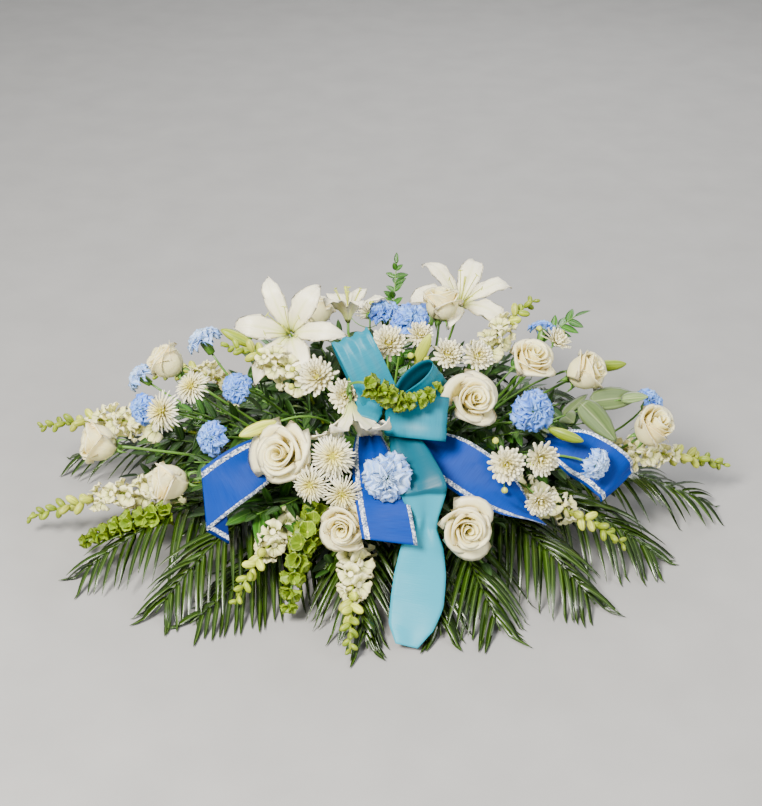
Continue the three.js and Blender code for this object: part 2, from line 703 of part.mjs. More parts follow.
// Palm fronds and leafy stems in four quarters.
// A frond is [tip, bend point, leaflet length], a leafy stem [tip, leaf length, leaf width].
const GREENS = {
  greens_left: {
    fronds: [
      [[-480, -260, 14], [-300, -150, 120], 110],
      [[-344, -352, 13], [-230, -200, 120], 112],
      [[-550, 60, 22], [-330, 40, 120], 95],
    ],
    leafy: [[[-330, -60, 200], 50, 20], [[-200, -235, 120], 90, 34]],
  },
  greens_front: {
    fronds: [
      [[90, -400, 10], [80, -250, 110], 110],
      [[-20, -430, 10], [-60, -260, 110], 105],
      [[-290, -370, 8], [-120, -200, 60], 115],
    ],
    leafy: [[[-90, -200, 190], 50, 22]],
  },
  greens_right: {
    fronds: [
      [[180, -390, 10], [110, -230, 120], 120],
      [[330, -330, 12], [210, -200, 120], 115],
      [[450, -220, 14], [300, -150, 120], 110],
      [[560, -80, 20], [350, -40, 120], 95],
    ],
    leafy: [[[330, -130, 160], 50, 22], [[230, -120, 200], 45, 20]],
  },
  greens_back: {
    fronds: [
      [[-350, 300, 12], [-220, 170, 120], 105],
      [[0, 340, 12], [0, 200, 120], 105],
      [[350, 300, 12], [220, 170, 120], 105],
    ],
    leafy: [[[-190, 110, 220], 50, 22], [[40, 160, 230], 45, 20]],
  },
  ruscus_top: { fronds: [], leafy: [[[25, 185, 372], 26, 12]] },
  leaves_right: { fronds: [], leafy: [[[345, 90, 290], 32, 15], [[385, -70, 232], 62, 32]] },
};

// A stem with a leaf on its left and its right at each step. size(share of the leafy part) gives
// [length, width or 0 for a leaflet that only tapers, how far forward it points].
function leafyStem(name, stem, from, pairs, size) {
  const bare = bareShares(stem, from);
  const shares = [...bare];
  const base = FROND.base / stem.curve.getLength();
  for (let pair = 0; pair < pairs; pair++) {
    const share = mix(from, 1 - 1.3 * base, pair / (pairs - 1));
    shares.push(share, share + base);
  }
  const rings = stemRings(stem, shares);
  rings.push([along(stem.curve.getPoint(1), stem.curve.getTangent(1), 12)]);
  return skin(rings, growWhereClear(name, (row, column, corners) => {
    const level = row - bare.length;
    if (level < 0 || level % 2 || level >= 2 * pairs || column > 1) return [];
    const { axis, away } = facing(stem, corners, (shares[row] + shares[row + 1]) / 2);
    const [length, width, forward] = size(level / 2 / (pairs - 1));
    const sideways = square(axis).side.multiplyScalar(Math.sign(away.dot(square(axis).side)));
    const out = along(sideways, axis, forward).normalize();
    const leaf = (droop, scale) => blade(corners, {
      out,
      length: length * scale,
      bend: vec(0, 0, droop * length * scale),
      sizes: width ? [[0.4, PETAL / 2, width]] : [],
    });
    return [leaf(-0.12, 1), leaf(0.05, 1), leaf(-0.3, 1), leaf(0.25, 1), leaf(0.1, 0.7), leaf(-0.15, 0.6)];
  }));
}

// Making the pieces, the ones that everything else has to keep clear of first

keep("holder_tray", FINISH.plastic, place("holder_tray", holderTray()));
keep("holder_cage", FINISH.plastic, place("holder_cage", holderCage()));

// Each piece that stands on a stem: { name, finish, heads: [{ solid, end, axis, radii }] }
const stemmed = [];
const head = (solid, end, axis, radius = STEM) => ({ solid, end, axis, radii: [radius, radius] });

const bow = place("bow", bowSolid());
const bowStem = head(bow, along(KNOT, vec(0, 1, 0), 8), vec(0, -0.5, 0.85), 2);
stemmed.push({ name: "bow", finish: FINISH.teal, heads: [bowStem] });
for (const [name, strips] of BANNERS) {
  const heads = strips.map((strip) => {
    const line = stations(strip);
    const solid = place(name, ribbonStrip(line));
    const forward = line[1].at.clone().sub(line[0].at).normalize();
    const normal = forward.clone().cross(line[0].across).normalize();
    const upward = normal.z > 0 ? normal : normal.negate();
    return head(solid, along(line[0].at, forward, 8).addScaledVector(upward, 1.2), upward, 1.8);
  });
  stemmed.push({ name, finish: FINISH.royal, heads });
}

for (const [name, middle, direction, radius, open] of ROSES) {
  const axis = unit(direction);
  const foot = along(point(middle), axis, 5 - roseHeight(radius, open) / 2);
  const solid = place(name, roseBloom(point(middle), axis, radius, open));
  stemmed.push({ name, finish: FINISH.cream, heads: [head(solid, foot, axis, 2.8)] });
}

const budHead = (owner, [root, direction, length]) => {
  const axis = unit(direction);
  const solid = place(owner, budSolid(point(root), axis, length));
  return head(solid, along(point(root), axis, 5), axis, 2.2);
};
for (const [name, throat, direction, length, open, petals, stamens, buds] of LILIES) {
  const axis = unit(direction);
  const solid = place(name, lilyBloom(name, point(throat), axis, length, open, petals, stamens));
  const heads = [head(solid, along(point(throat), axis, -length * 0.16), axis, 3)];
  stemmed.push({ name, finish: FINISH.white, heads: [...heads, ...buds.map((bud) => budHead(name, bud))] });
}
stemmed.push({
  name: "lily_buds_right",
  finish: FINISH.lime,
  heads: BUDS_RIGHT.map((bud) => budHead("lily_buds_right", bud)),
});

for (const [name, blooms] of CARNATIONS) {
  const heads = blooms.map(([middle, direction, radius]) => {
    const axis = unit(direction);
    const solid = place(name, carnationBloom(point(middle), axis, radius));
    return head(solid, along(point(middle), axis, -radius * 0.9), axis, 2.2);
  });
  stemmed.push({ name, finish: FINISH.sky, heads });
}

for (const [name, spider, blooms] of MUMS) {
  const heads = blooms.map(([middle, direction, radius]) => {
    const axis = unit(direction);
    return head(place(name, mumBloom(name, point(middle), axis, radius, spider)), point(middle), axis, 2);
  });
  stemmed.push({ name, finish: spider ? FINISH.cream : FINISH.white, heads });
}

// The stems, each from its bloom down into the foam. A spray's other heads branch off its first stem.
for (const { name, finish, heads } of stemmed) {
  const solids = [];
  let fork = null;
  for (const { solid, end, axis, radii } of heads) {
    const { curve, tube } = route(name, end, axis, { radii, fork });
    fork ??= curve.getPoint(FORK);
    solids.push(solid, tube);
  }
  keep(name, finish, Manifold.union(solids));
}

// A stem that starts in the foam, bends at control and ends at tip
const stemTo = (name, tip, control, sides, fork = null) =>
  route(name, tip, tip.clone().sub(control).normalize(), { radii: [3, 2], sides, fork, control });

for (const [name, tip, control, flowering] of SNAPDRAGONS) {
  const stem = stemTo(name, point(tip), point(control), 4);
  keep(name, FINISH.white, place(name, snapdragonSpike(name, stem, flowering)));
}
for (const [name, tip, control, flowering] of BELLS) {
  const stem = stemTo(name, point(tip), point(control), 3);
  keep(name, FINISH.bells, place(name, bellsSpike(name, stem, flowering)));
}
const centre = {
  curve: new THREE.CatmullRomCurve3(BELLS_CENTRE.path.map(point)),
  radii: [2.4, 2],
  sides: 3,
  shares: TENTHS,
};
stems.push(centre);
const centreSpike = bellsSpike("bells_centre", centre, BELLS_CENTRE.flowering);
keep("bells_centre", FINISH.bells, place("bells_centre", centreSpike));

// The fronds and leafy stems of one quarter branch off its first stem.
for (const [name, { fronds, leafy }] of Object.entries(GREENS)) {
  const solids = [];
  let fork = null;
  const add = (tip, control, from, pairs, size) => {
    const stem = stemTo(name, tip, control, 3, fork);
    fork ??= stem.curve.getPoint(FORK);
    solids.push(place(name, leafyStem(name, stem, from, pairs, size)));
  };
  for (const [tip, control, length] of fronds) {
    const leaflet = (share) => [length * (1.05 - 0.4 * share), 0, 0.5 + share];
    add(point(tip), point(control), 0.4, FROND.pairs, leaflet);
  }
  for (const [tip, length, width] of leafy) {
    const control = point(tip).multiply(vec(0.7, 0.7, 0.8));
    add(point(tip), control, 0.6, 4, (share) => [length * (1 - 0.3 * share), width, 0.6 + 0.6 * share]);
  }
  keep(name, FINISH.leaf, Manifold.union(solids));
}

// The foam, with a hole round every stem that stands in it
const holes = stems.map((stem) => {
  const rings = stemRings(stem, stem.shares, 2 * HOLE_GAP);
  const back = stem.curve.getTangent(0).multiplyScalar(-2 * HOLE_GAP);
  return skin([rings[0].map((p) => p.clone().add(back)), ...rings]);
});
const pierced = foamBlock.subtract(Manifold.union(holes));
keep("foam_block", FINISH.foam, pierced.decompose().sort((a, b) => b.volume() - a.volume())[0]);

// The scene graph
const spray = new THREE.Group();
for (const { name, finish, solid } of nodes) {
  const { numProp, vertProperties, triVerts } = solid.getMesh();
  const geometry = new THREE.BufferGeometry();
  geometry.setAttribute("position", new THREE.BufferAttribute(vertProperties, numProp));
  geometry.setIndex(new THREE.BufferAttribute(triVerts, 1));
  geometry.computeVertexNormals();
  const mesh = new THREE.Mesh(geometry, new THREE.MeshStandardMaterial({ ...finish, metalness: 0 }));
  mesh.name = name;
  spray.add(mesh);
}
export default spray;
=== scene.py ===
# %% [markdown]
# # A casket spray of blue and white flowers
#
# This lesson dresses a finished model of a casket spray: an oval mound of roses, lilies, carnations,
# chrysanthemums, snapdragons and bells of Ireland over palm fronds, with a satin bow and wide ribbons.
# The model that is loaded first has every bloom, spike, frond and ribbon in its place as a plain solid.
# Each of them is now grown again from numpy arrays, with all of its petals, in the same place.

# %% Load the frame
import math
import bpy
import numpy as np
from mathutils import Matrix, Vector


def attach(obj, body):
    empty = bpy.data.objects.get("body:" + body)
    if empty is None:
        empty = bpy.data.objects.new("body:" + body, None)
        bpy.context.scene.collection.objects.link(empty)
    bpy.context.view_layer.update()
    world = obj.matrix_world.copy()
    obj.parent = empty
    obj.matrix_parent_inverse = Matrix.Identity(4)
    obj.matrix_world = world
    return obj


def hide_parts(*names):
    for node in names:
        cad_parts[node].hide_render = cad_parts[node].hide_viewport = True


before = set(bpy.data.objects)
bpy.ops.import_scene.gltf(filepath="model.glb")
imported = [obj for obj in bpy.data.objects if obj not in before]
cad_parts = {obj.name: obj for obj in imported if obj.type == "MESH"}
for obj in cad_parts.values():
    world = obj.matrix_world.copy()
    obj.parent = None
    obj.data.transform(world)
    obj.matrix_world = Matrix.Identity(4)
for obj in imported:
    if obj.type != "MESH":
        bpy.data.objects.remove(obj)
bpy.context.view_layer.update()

# %% [markdown]
# ## Directions and rows of shapes
#
# A flower is one shape repeated: the same petal, turned, leaned and stretched a little differently each time.
# So every helper here works on a whole array of copies at once. Lengths are in millimetres until a mesh is
# made, because petals are easier to think of in millimetres than in metres.

# %% Directions
MM = 0.001
GOLDEN = math.pi * (3 - math.sqrt(5))  # the turn from each petal or floret to the next
LOWEST = 3.0  # leaves that would dip under the table lie this far above it
NEARLY_UP = (0.02, 0.03, 1.0)  # never quite parallel to an upright stem
print("The golden turn is", round(math.degrees(GOLDEN), 1), "degrees")


def unit(vectors):
    """Each vector divided by its own length."""
    vectors = np.asarray(vectors, float)
    return vectors / np.maximum(np.linalg.norm(vectors, axis=-1, keepdims=True), 1e-9)


def mix(start, end, share):
    """The value a share of the way from start to end."""
    return start + (end - start) * share


def square(axis):
    """Two directions square to each axis: side is level, and side x rise = axis."""
    axis = unit(axis)
    steep = np.abs(axis[..., 2:]) > 0.95
    side = unit(np.cross(np.where(steep, (0.0, -1.0, 0.0), (0.0, 0.0, 1.0)), axis))
    return side, np.cross(axis, side)


def stand(local, middle, axis):
    """Local points (x, y, height) put round a middle: x along side, y along rise, height along the axis."""
    side, rise = square(axis)
    frame_of = np.stack([side, rise, unit(axis)])
    return np.asarray(middle, float) + local @ frame_of


def bend(start, control, end, steps):
    """Points on curves that leave start towards control and reach end: (1-t)^2 A + 2t(1-t) B + t^2 C."""
    t = np.linspace(0, 1, steps)[:, None]
    start, control, end = (np.asarray(p, float)[..., None, :] for p in (start, control, end))
    return (1 - t) ** 2 * start + 2 * t * (1 - t) * control + t**2 * end


def smooth_line(stops, steps):
    """A smooth row of values through evenly spaced stops: a Catmull-Rom spline, sampled steps times."""
    stops = np.asarray(stops, float)
    padded = np.concatenate([[2 * stops[0] - stops[1]], stops, [2 * stops[-1] - stops[-2]]])
    at = np.linspace(0, len(stops) - 1, steps)
    k = np.minimum(at.astype(int), len(stops) - 2)
    t = (at - k)[:, None]
    a, b, c, d = (padded[k + n].reshape(steps, -1) for n in range(4))
    return 0.5 * (2 * b + (c - a) * t + (2 * a - 5 * b + 4 * c - d) * t**2 + (3 * b - a - 3 * c + d) * t**3)


# %% [markdown]
# ## Thin shells and closed skins
#
# Two kinds of surface make the whole spray. A petal or a leaf is a *shell*: a front sheet and a back sheet
# that share their rim, so it is closed and has a thickness. A stem, a bud or a cup is a *skin*: rings from
# one end to the other, closed at both ends. Each returns a part, which is a plain dictionary of arrays.

# %% Shells and skins
def grid_quads(index):
    """Four-sided faces between the rows and columns of a grid of point numbers."""
    return np.stack([index[:-1, :-1], index[1:, :-1], index[1:, 1:], index[:-1, 1:]], -1).reshape(-1, 4)


def part(points, quads, uv, look, tone):
    """Copies of one mesh. points is (copies, n, 3), and tone gives each copy three numbers for its colour."""
    copies, count, _ = points.shape
    shift = (np.arange(copies) * count)[:, None, None]
    tone = np.broadcast_to(np.asarray(tone, float).reshape(-1, 1, 3), (copies, count, 3))
    return {
        "points": points.reshape(-1, 3),
        "quads": (quads[None] + shift).reshape(-1, 4),
        "uv": np.tile(uv, (copies, 1)),
        "tone": tone.reshape(-1, 3),
        "look": look,
    }


def shell(front, thick, look, tone=(0.5, 0.5, 0.5)):
    """Closed shells from sheets (copies, rows, columns, 3). The back of each lies thick behind its inner
    points, along the normal, and the rim belongs to both. UV: along the rows, then across the columns."""
    copies, rows, columns, _ = front.shape
    normal = unit(np.cross(np.gradient(front, axis=1), np.gradient(front, axis=2)))
    back = (front - thick * normal)[:, 1:-1, 1:-1]
    count = rows * columns
    inner = (rows - 2) * (columns - 2)
    face = np.arange(count).reshape(rows, columns)
    behind = face.copy()
    behind[1:-1, 1:-1] = count + np.arange(inner).reshape(rows - 2, columns - 2)
    uv = np.stack(np.meshgrid(np.linspace(0, 1, rows), np.linspace(0, 1, columns), indexing="ij"), -1)
    uv = np.concatenate([uv.reshape(-1, 2), uv[1:-1, 1:-1].reshape(-1, 2)])
    points = np.concatenate([front.reshape(copies, count, 3), back.reshape(copies, inner, 3)], axis=1)
    quads = np.concatenate([grid_quads(face), grid_quads(behind)[:, ::-1]])
    return part(points, quads, uv, look, tone)


def skin(rings, look, tone=(0.5, 0.5, 0.5)):
    """Closed bodies from rings (copies, rows, sides, 3), listed from root to tip. sides is even, and both
    ends are closed by strips of faces. UV: along the rows, then there and back round the ring."""
    copies, rows, sides, _ = rings.shape
    index = np.arange(rows * sides).reshape(rows, sides)
    wrapped = np.concatenate([index, index[:, :1]], axis=1)
    k = np.arange(sides // 2 - 1)
    strips = np.stack([k, k + 1, sides - 2 - k, sides - 1 - k], -1)
    quads = np.concatenate([grid_quads(wrapped)[:, ::-1], index[0][strips][:, ::-1], index[-1][strips]])
    around = 1 - np.abs(2 * np.arange(sides) / sides - 1)
    uv = np.stack(np.meshgrid(np.linspace(0, 1, rows), around, indexing="ij"), -1).reshape(-1, 2)
    return part(rings.reshape(copies, rows * sides, 3), quads, uv, look, tone)


def rings_round(paths, radii, sides):
    """Rings of a radius round paths (copies, rows, 3): centre + r cos(a) side + r sin(a) rise."""
    tangent = unit(np.gradient(paths, axis=1))
    chord = unit(paths[:, -1] - paths[:, 0])
    guide = unit(np.cross(chord, NEARLY_UP))[:, None]
    rise = unit(np.cross(tangent, guide))[:, :, None]
    side = np.cross(rise, tangent[:, :, None])
    angle = (np.arange(sides) * 2 * np.pi / sides)[:, None]
    radii = np.broadcast_to(radii, paths.shape[:2])[..., None, None]
    return paths[:, :, None] + radii * (np.cos(angle) * side + np.sin(angle) * rise)


def spindle(heights, radii, sides, wave=0.0):
    """Rings about the Z axis, one at each height: radius r (1 + wave cos 3a)."""
    angle = np.arange(sides) * 2 * np.pi / sides
    radius = np.asarray(radii, float)[:, None] * (1 + wave * np.cos(3 * angle))
    height = np.broadcast_to(np.asarray(heights, float)[:, None], radius.shape)
    return np.stack([radius * np.cos(angle), radius * np.sin(angle), height], -1)[None]


def turned_about(radius, angle, height):
    """Points from their distance to the axis, their angle round it and their height along it."""
    radius, angle, height = np.broadcast_arrays(radius, angle, height)
    return np.stack([radius * np.cos(angle), radius * np.sin(angle), height], -1)


# %% [markdown]
# ## From arrays to an object
#
# The arrays of all the parts of one bloom go into one mesh in a single step. The mesh carries a UV map and
# an attribute called tone, with three numbers. On petals and leaves the first is a random one for each of
# them, and the second its place from the heart (0) to the outside (1). On ribbons the second says how much
# light comes through, painted as a paler colour, and the third is 1 on the dull side of the satin, which is
# painted darker as shade. The materials read both.

# %% Make a piece
MATERIALS = {}


def make_piece(name, parts, nodes):
    """One object at the origin from its parts, which stands for some solids of the loaded model."""
    sizes = [len(p["points"]) for p in parts]
    starts = np.cumsum([0, *sizes[:-1]])
    points = np.concatenate([p["points"] for p in parts]) * MM
    quads = np.concatenate([p["quads"] + start for p, start in zip(parts, starts)])
    uv = np.concatenate([p["uv"] for p in parts])
    tone = np.concatenate([p["tone"] for p in parts])
    looks = list(dict.fromkeys(p["look"] for p in parts))
    wears = np.concatenate([np.full(len(p["quads"]), looks.index(p["look"])) for p in parts])
    mesh = bpy.data.meshes.new(name)
    mesh.vertices.add(len(points))
    mesh.vertices.foreach_set("co", points.ravel())
    mesh.loops.add(quads.size)
    mesh.loops.foreach_set("vertex_index", quads.ravel().astype(np.int32))
    mesh.polygons.add(len(quads))
    mesh.polygons.foreach_set("loop_start", np.arange(0, quads.size, 4, dtype=np.int32))
    mesh.polygons.foreach_set("material_index", wears.astype(np.int32))
    mesh.update(calc_edges=True)
    mesh.shade_smooth()
    mesh.uv_layers.new(name="UVMap").data.foreach_set("uv", uv[quads.ravel()].ravel())
    mesh.attributes.new("tone", "FLOAT_VECTOR", "POINT").data.foreach_set("vector", tone.ravel())
    for look in looks:
        mesh.materials.append(MATERIALS[look])
    piece = bpy.data.objects.new(name, mesh)
    bpy.context.scene.collection.objects.link(piece)
    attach(piece, "root")
    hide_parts(*nodes)
    print(f"{name}: {2 * len(quads)} triangles")
    return piece


# %% [markdown]
# ## Materials by nodes
#
# No photograph is pasted on anything. A material starts from the UV map or the tone attribute of the piece,
# and small helpers keep the node trees short enough to read.

# %% Node helpers
def new_finish(name, roughness, sheen=0.0, glow=0.0, coat=0.0):
    """A material under this name, with the numbers that are the same all over on the shader's sockets."""
    material = bpy.data.materials.new(name)
    material.use_nodes = True
    shader = material.node_tree.nodes["Principled BSDF"]
    shader.inputs["Roughness"].default_value = roughness
    shader.inputs["Sheen Weight"].default_value = sheen
    shader.inputs["Subsurface Weight"].default_value = glow
    shader.inputs["Subsurface Radius"].default_value = (1.0, 0.8, 0.6)
    shader.inputs["Subsurface Scale"].default_value = 0.004
    shader.inputs["Coat Weight"].default_value = coat
    shader.inputs["Coat Roughness"].default_value = 0.25
    MATERIALS[name] = material
    return material.node_tree, shader


def add(tree, kind, inputs=(), **settings):
    """One node. inputs pairs a socket's name or number with a value or with another node's output."""
    made = tree.nodes.new("ShaderNode" + kind)
    for name, value in settings.items():
        setattr(made, name, value)
    for socket, value in inputs:
        if isinstance(value, bpy.types.NodeSocket):
            tree.links.new(value, made.inputs[socket])
        else:
            made.inputs[socket].default_value = value
    return made


def calculate(tree, operation, a, b=0.0, c=0.0):
    """A number worked out from two or three others."""
    return add(tree, "Math", [(0, a), (1, b), (2, c)], operation=operation).outputs[0]


def blend_colours(tree, share, a, b):
    """A colour a share of the way from a to b."""
    node = add(tree, "Mix", [(0, share), (6, a), (7, b)], data_type="RGBA")
    return node.outputs[2]


def colour_ramp(tree, value, stops):
    """Colours by a value from 0 to 1. stops is a list of (place, (red, green, blue))."""
    node = add(tree, "ValToRGB", [(0, value)])
    ramp = node.color_ramp
    while len(ramp.elements) < len(stops):
        ramp.elements.new(0.5)
    for element, (place, colour) in zip(ramp.elements, stops):
        element.position = place
        element.color = (*colour, 1)
    return node.outputs[0]


def surface_maps(tree):
    """Along and across the surface, and the three tones of the petal."""
    uv = add(tree, "UVMap", uv_map="UVMap")
    over = add(tree, "SeparateXYZ", [(0, uv.outputs[0])]).outputs
    tone = add(tree, "Attribute", attribute_name="tone")
    tones = add(tree, "SeparateXYZ", [(0, tone.outputs["Vector"])]).outputs
    return over[0], over[1], tones


def streaks(tree, along, across, shift, stretch, detail=2.0):
    """Noise drawn out along the surface, from 0 to 1. stretch is how many lumps along and across."""
    place = add(tree, "CombineXYZ", [
        (0, calculate(tree, "MULTIPLY", along, stretch[0])),
        (1, calculate(tree, "MULTIPLY", across, stretch[1])),
        (2, calculate(tree, "MULTIPLY", shift, 40.0)),
    ])
    noise = add(tree, "TexNoise", [("Vector", place.outputs[0]), ("Scale", 1.0), ("Detail", detail)])
    return noise.outputs[0]


def clamped(tree, value):
    """A number kept between 0 and 1."""
    return add(tree, "Clamp", [(0, value)]).outputs[0]


def from_middle(tree, across):
    """How far a point lies from the middle line of a petal, leaf or ribbon, as a share of its width."""
    return calculate(tree, "ABSOLUTE", calculate(tree, "SUBTRACT", across, 0.5))


def fade_out(tree, value, start, end, strength):
    """A number that falls from strength, where the value is at start, to nothing at end."""
    return add(tree, "MapRange", [("Value", value), ("From Min", start), ("From Max", end),
                                  ("To Min", strength), ("To Max", 0.0)]).outputs[0]


def paint_each(tree, shader, colour, tones, spread, least):
    """The colour goes to the shader, lighter or darker on each petal or leaf by its random tone."""
    value = calculate(tree, "MULTIPLY_ADD", tones[0], spread, least)
    varied = add(tree, "HueSaturation", [("Value", value), ("Color", colour)]).outputs[0]
    tree.links.new(varied, shader.inputs["Base Color"])


def raise_bump(tree, shader, height, distance):
    """Relief from a height between 0 and 1, so many metres deep."""
    bump = add(tree, "Bump", [("Height", height), ("Distance", distance), ("Strength", 1.0)])
    tree.links.new(bump.outputs[0], shader.inputs["Normal"])


# %% [markdown]
# ## The finish of petals
#
# A petal is thin and lets light through, so the shader has a little subsurface glow. Its colour runs from
# the base to the tip, the petals of the heart are deeper than the outer ones, and fine veins run lengthwise.
# An image of a petal could be wrapped on each, but streaks of noise never repeat and need no picture. One
# function makes this for every white or blue flower, with its own colours.

# %% Petal finishes
def petal_finish(name, along_stops, heart_stops, vein, vein_share, lumps=(1.5, 24), relief=0.0003,
                 heart_power=2.0, rib=None, **look):
    """Outer petals take along_stops, heart petals heart_stops, and streaks mix in the vein colour. A rib of
    its own colour may run up the middle and fade out towards the tip."""
    tree, shader = new_finish(name, **look)
    along, across, tones = surface_maps(tree)
    outer = colour_ramp(tree, along, along_stops)
    heart = colour_ramp(tree, along, heart_stops)
    near_heart = calculate(tree, "POWER", calculate(tree, "SUBTRACT", 1.0, tones[1]), heart_power)
    colour = blend_colours(tree, near_heart, outer, heart)
    line = streaks(tree, along, across, tones[0], lumps)
    contrast = calculate(tree, "MULTIPLY_ADD", line, 2.4, -0.8)
    veins = clamped(tree, calculate(tree, "MULTIPLY", contrast, vein_share))
    colour = blend_colours(tree, veins, colour, (*vein, 1))
    if rib:
        beside = fade_out(tree, from_middle(tree, across), 0.0, 0.09, 0.75)
        upwards = fade_out(tree, along, 0.3, 0.9, 1.0)
        colour = blend_colours(tree, calculate(tree, "MULTIPLY", beside, upwards), colour, (*rib, 1))
    paint_each(tree, shader, colour, tones, 0.16, 0.9)
    raise_bump(tree, shader, line, relief)
    return name


ROSE_PETAL = petal_finish(
    "rose_petal_cream",
    [(0.0, (0.78, 0.76, 0.3)), (0.2, (0.96, 0.83, 0.37)), (0.7, (0.99, 0.83, 0.4)), (1.0, (1.0, 0.87, 0.49))],
    [(0.0, (0.93, 0.86, 0.36)), (0.5, (0.98, 0.87, 0.34)), (1.0, (0.98, 0.88, 0.42))],
    vein=(0.97, 0.76, 0.38), vein_share=0.15, heart_power=1.2, roughness=0.5, sheen=0.05, glow=0.5,
)
LILY_PETAL = petal_finish(
    "lily_petal_white",
    [(0.0, (0.4, 0.52, 0.05)), (0.2, (0.72, 0.76, 0.28)),
     (0.38, (0.96, 0.87, 0.55)), (1.0, (0.99, 0.88, 0.64))],
    [(0.0, (0.4, 0.5, 0.04)), (0.4, (0.86, 0.83, 0.46)), (1.0, (0.95, 0.88, 0.72))],
    vein=(0.86, 0.8, 0.58), vein_share=0.35, lumps=(1.0, 14), relief=0.001, rib=(0.66, 0.72, 0.2),
    roughness=0.42, glow=0.3, sheen=0.1,
)
DAISY_PETAL = petal_finish(
    "chrysanthemum_petal_white",
    [(0.0, (0.84, 0.78, 0.3)), (0.3, (1.0, 0.93, 0.56)), (1.0, (1.0, 0.95, 0.68))],
    [(0.0, (0.6, 0.58, 0.06)), (0.6, (0.92, 0.8, 0.26)), (1.0, (0.97, 0.9, 0.5))],
    vein=(0.9, 0.84, 0.62), vein_share=0.2, lumps=(1.0, 7), heart_power=3.0, roughness=0.5, glow=0.3,
)
SPIDER_PETAL = petal_finish(
    "spider_petal_cream",
    [(0.0, (0.8, 0.72, 0.2)), (0.4, (0.93, 0.88, 0.58)), (1.0, (0.96, 0.92, 0.78))],
    [(0.0, (0.7, 0.58, 0.03)), (1.0, (0.92, 0.78, 0.12))],
    vein=(0.86, 0.8, 0.5), vein_share=0.2, lumps=(1.0, 5), heart_power=1.8, roughness=0.5, glow=0.3,
)
SNAPDRAGON_PETAL = petal_finish(
    "snapdragon_petal_white",
    [(0.0, (0.6, 0.66, 0.12)), (0.35, (0.95, 0.88, 0.35)), (1.0, (0.99, 0.92, 0.55))],
    [(0.0, (0.5, 0.58, 0.06)), (1.0, (0.92, 0.86, 0.4))],
    vein=(0.93, 0.88, 0.58), vein_share=0.2, lumps=(1.5, 9), roughness=0.5, glow=0.35, sheen=0.1,
)
CARNATION_BLUE = petal_finish(
    "carnation_petal_blue",
    [(0.0, (0.4, 0.66, 0.94)), (0.5, (0.05, 0.28, 0.86)), (0.8, (0.0, 0.09, 0.66)), (1.0, (0.0, 0.18, 0.8))],
    [(0.0, (0.66, 0.82, 0.95)), (0.6, (0.3, 0.56, 0.94)), (1.0, (0.04, 0.28, 0.86))],
    vein=(0.5, 0.74, 0.98), vein_share=0.55, lumps=(3.0, 7), roughness=0.55, sheen=0.1, glow=0.15,
)
CARNATION_PALE = petal_finish(
    "carnation_petal_pale",
    [(0.0, (0.8, 0.88, 0.93)), (0.5, (0.36, 0.6, 0.94)),
     (0.85, (0.04, 0.24, 0.82)), (1.0, (0.14, 0.42, 0.9))],
    [(0.0, (0.88, 0.92, 0.94)), (0.6, (0.66, 0.8, 0.96)), (1.0, (0.36, 0.6, 0.94))],
    vein=(0.78, 0.87, 0.97), vein_share=0.75, lumps=(3.0, 7), roughness=0.55, sheen=0.1, glow=0.15,
)
print("Petal finishes:", len(MATERIALS))

# %% [markdown]
# ## The finish of leaves, stems and buds
#
# A leaf is glossier than a petal, darker in its depths and lighter along the midrib, which lies in the
# middle of the V direction of its UV map. Stems and buds use the same recipe with softer veins, so that one
# function is enough for everything green.

# %% Leaf finishes
RIB_WIDTH = 0.05  # half the width of the midrib, as a share of the leaf's


def leaf_finish(name, dark, light, rib, lumps, streak_share=0.6, relief=0.0005, **look):
    """Streaks run from dark to light along the leaf, and a rib lies along its middle."""
    tree, shader = new_finish(name, **look)
    along, across, tones = surface_maps(tree)
    line = streaks(tree, along, across, tones[0], lumps)
    contrast = calculate(tree, "MULTIPLY_ADD", line, 2.2, -0.6)
    veins = clamped(tree, calculate(tree, "MULTIPLY", contrast, streak_share))
    colour = blend_colours(tree, veins, (*dark, 1), (*light, 1))
    near_rib = fade_out(tree, from_middle(tree, across), 0.0, RIB_WIDTH, 0.8)
    colour = blend_colours(tree, near_rib, colour, (*rib, 1))
    paint_each(tree, shader, colour, tones, 0.5, 0.7)
    raise_bump(tree, shader, line, relief)
    return name


PALM_LEAF = leaf_finish(
    "palm_leaflet", (0.007, 0.024, 0.001), (0.045, 0.095, 0.006), (0.14, 0.23, 0.03),
    lumps=(1.0, 6), roughness=0.22, coat=0.5,
)
FILLER_LEAF = leaf_finish(
    "filler_leaf", (0.01, 0.04, 0.005), (0.045, 0.115, 0.014), (0.09, 0.19, 0.03),
    lumps=(2.0, 12), roughness=0.4,
)
BROAD_LEAF = leaf_finish(
    "broad_leaf", (0.014, 0.08, 0.006), (0.07, 0.22, 0.014), (0.18, 0.38, 0.06),
    lumps=(2.0, 14), roughness=0.34, coat=0.15,
)
SAGE_LEAF = leaf_finish(
    "pale_sage_leaf", (0.08, 0.14, 0.03), (0.2, 0.28, 0.08), (0.34, 0.4, 0.18),
    lumps=(2.0, 10), roughness=0.5, sheen=0.2,
)
STEM_GREEN = leaf_finish(
    "green_stem", (0.05, 0.16, 0.015), (0.17, 0.34, 0.04), (0.22, 0.4, 0.08),
    lumps=(6.0, 6), streak_share=0.8, roughness=0.45,
)
LIME_BUD = leaf_finish(
    "lime_bud", (0.1, 0.18, 0.002), (0.36, 0.42, 0.008), (0.5, 0.54, 0.05),
    lumps=(1.0, 9), streak_share=0.8, roughness=0.45, glow=0.1,
)
CREAM_BUD = leaf_finish(
    "cream_bud", (0.26, 0.33, 0.008), (0.68, 0.7, 0.09), (0.82, 0.8, 0.26),
    lumps=(1.0, 7), streak_share=0.9, roughness=0.45, glow=0.1,
)
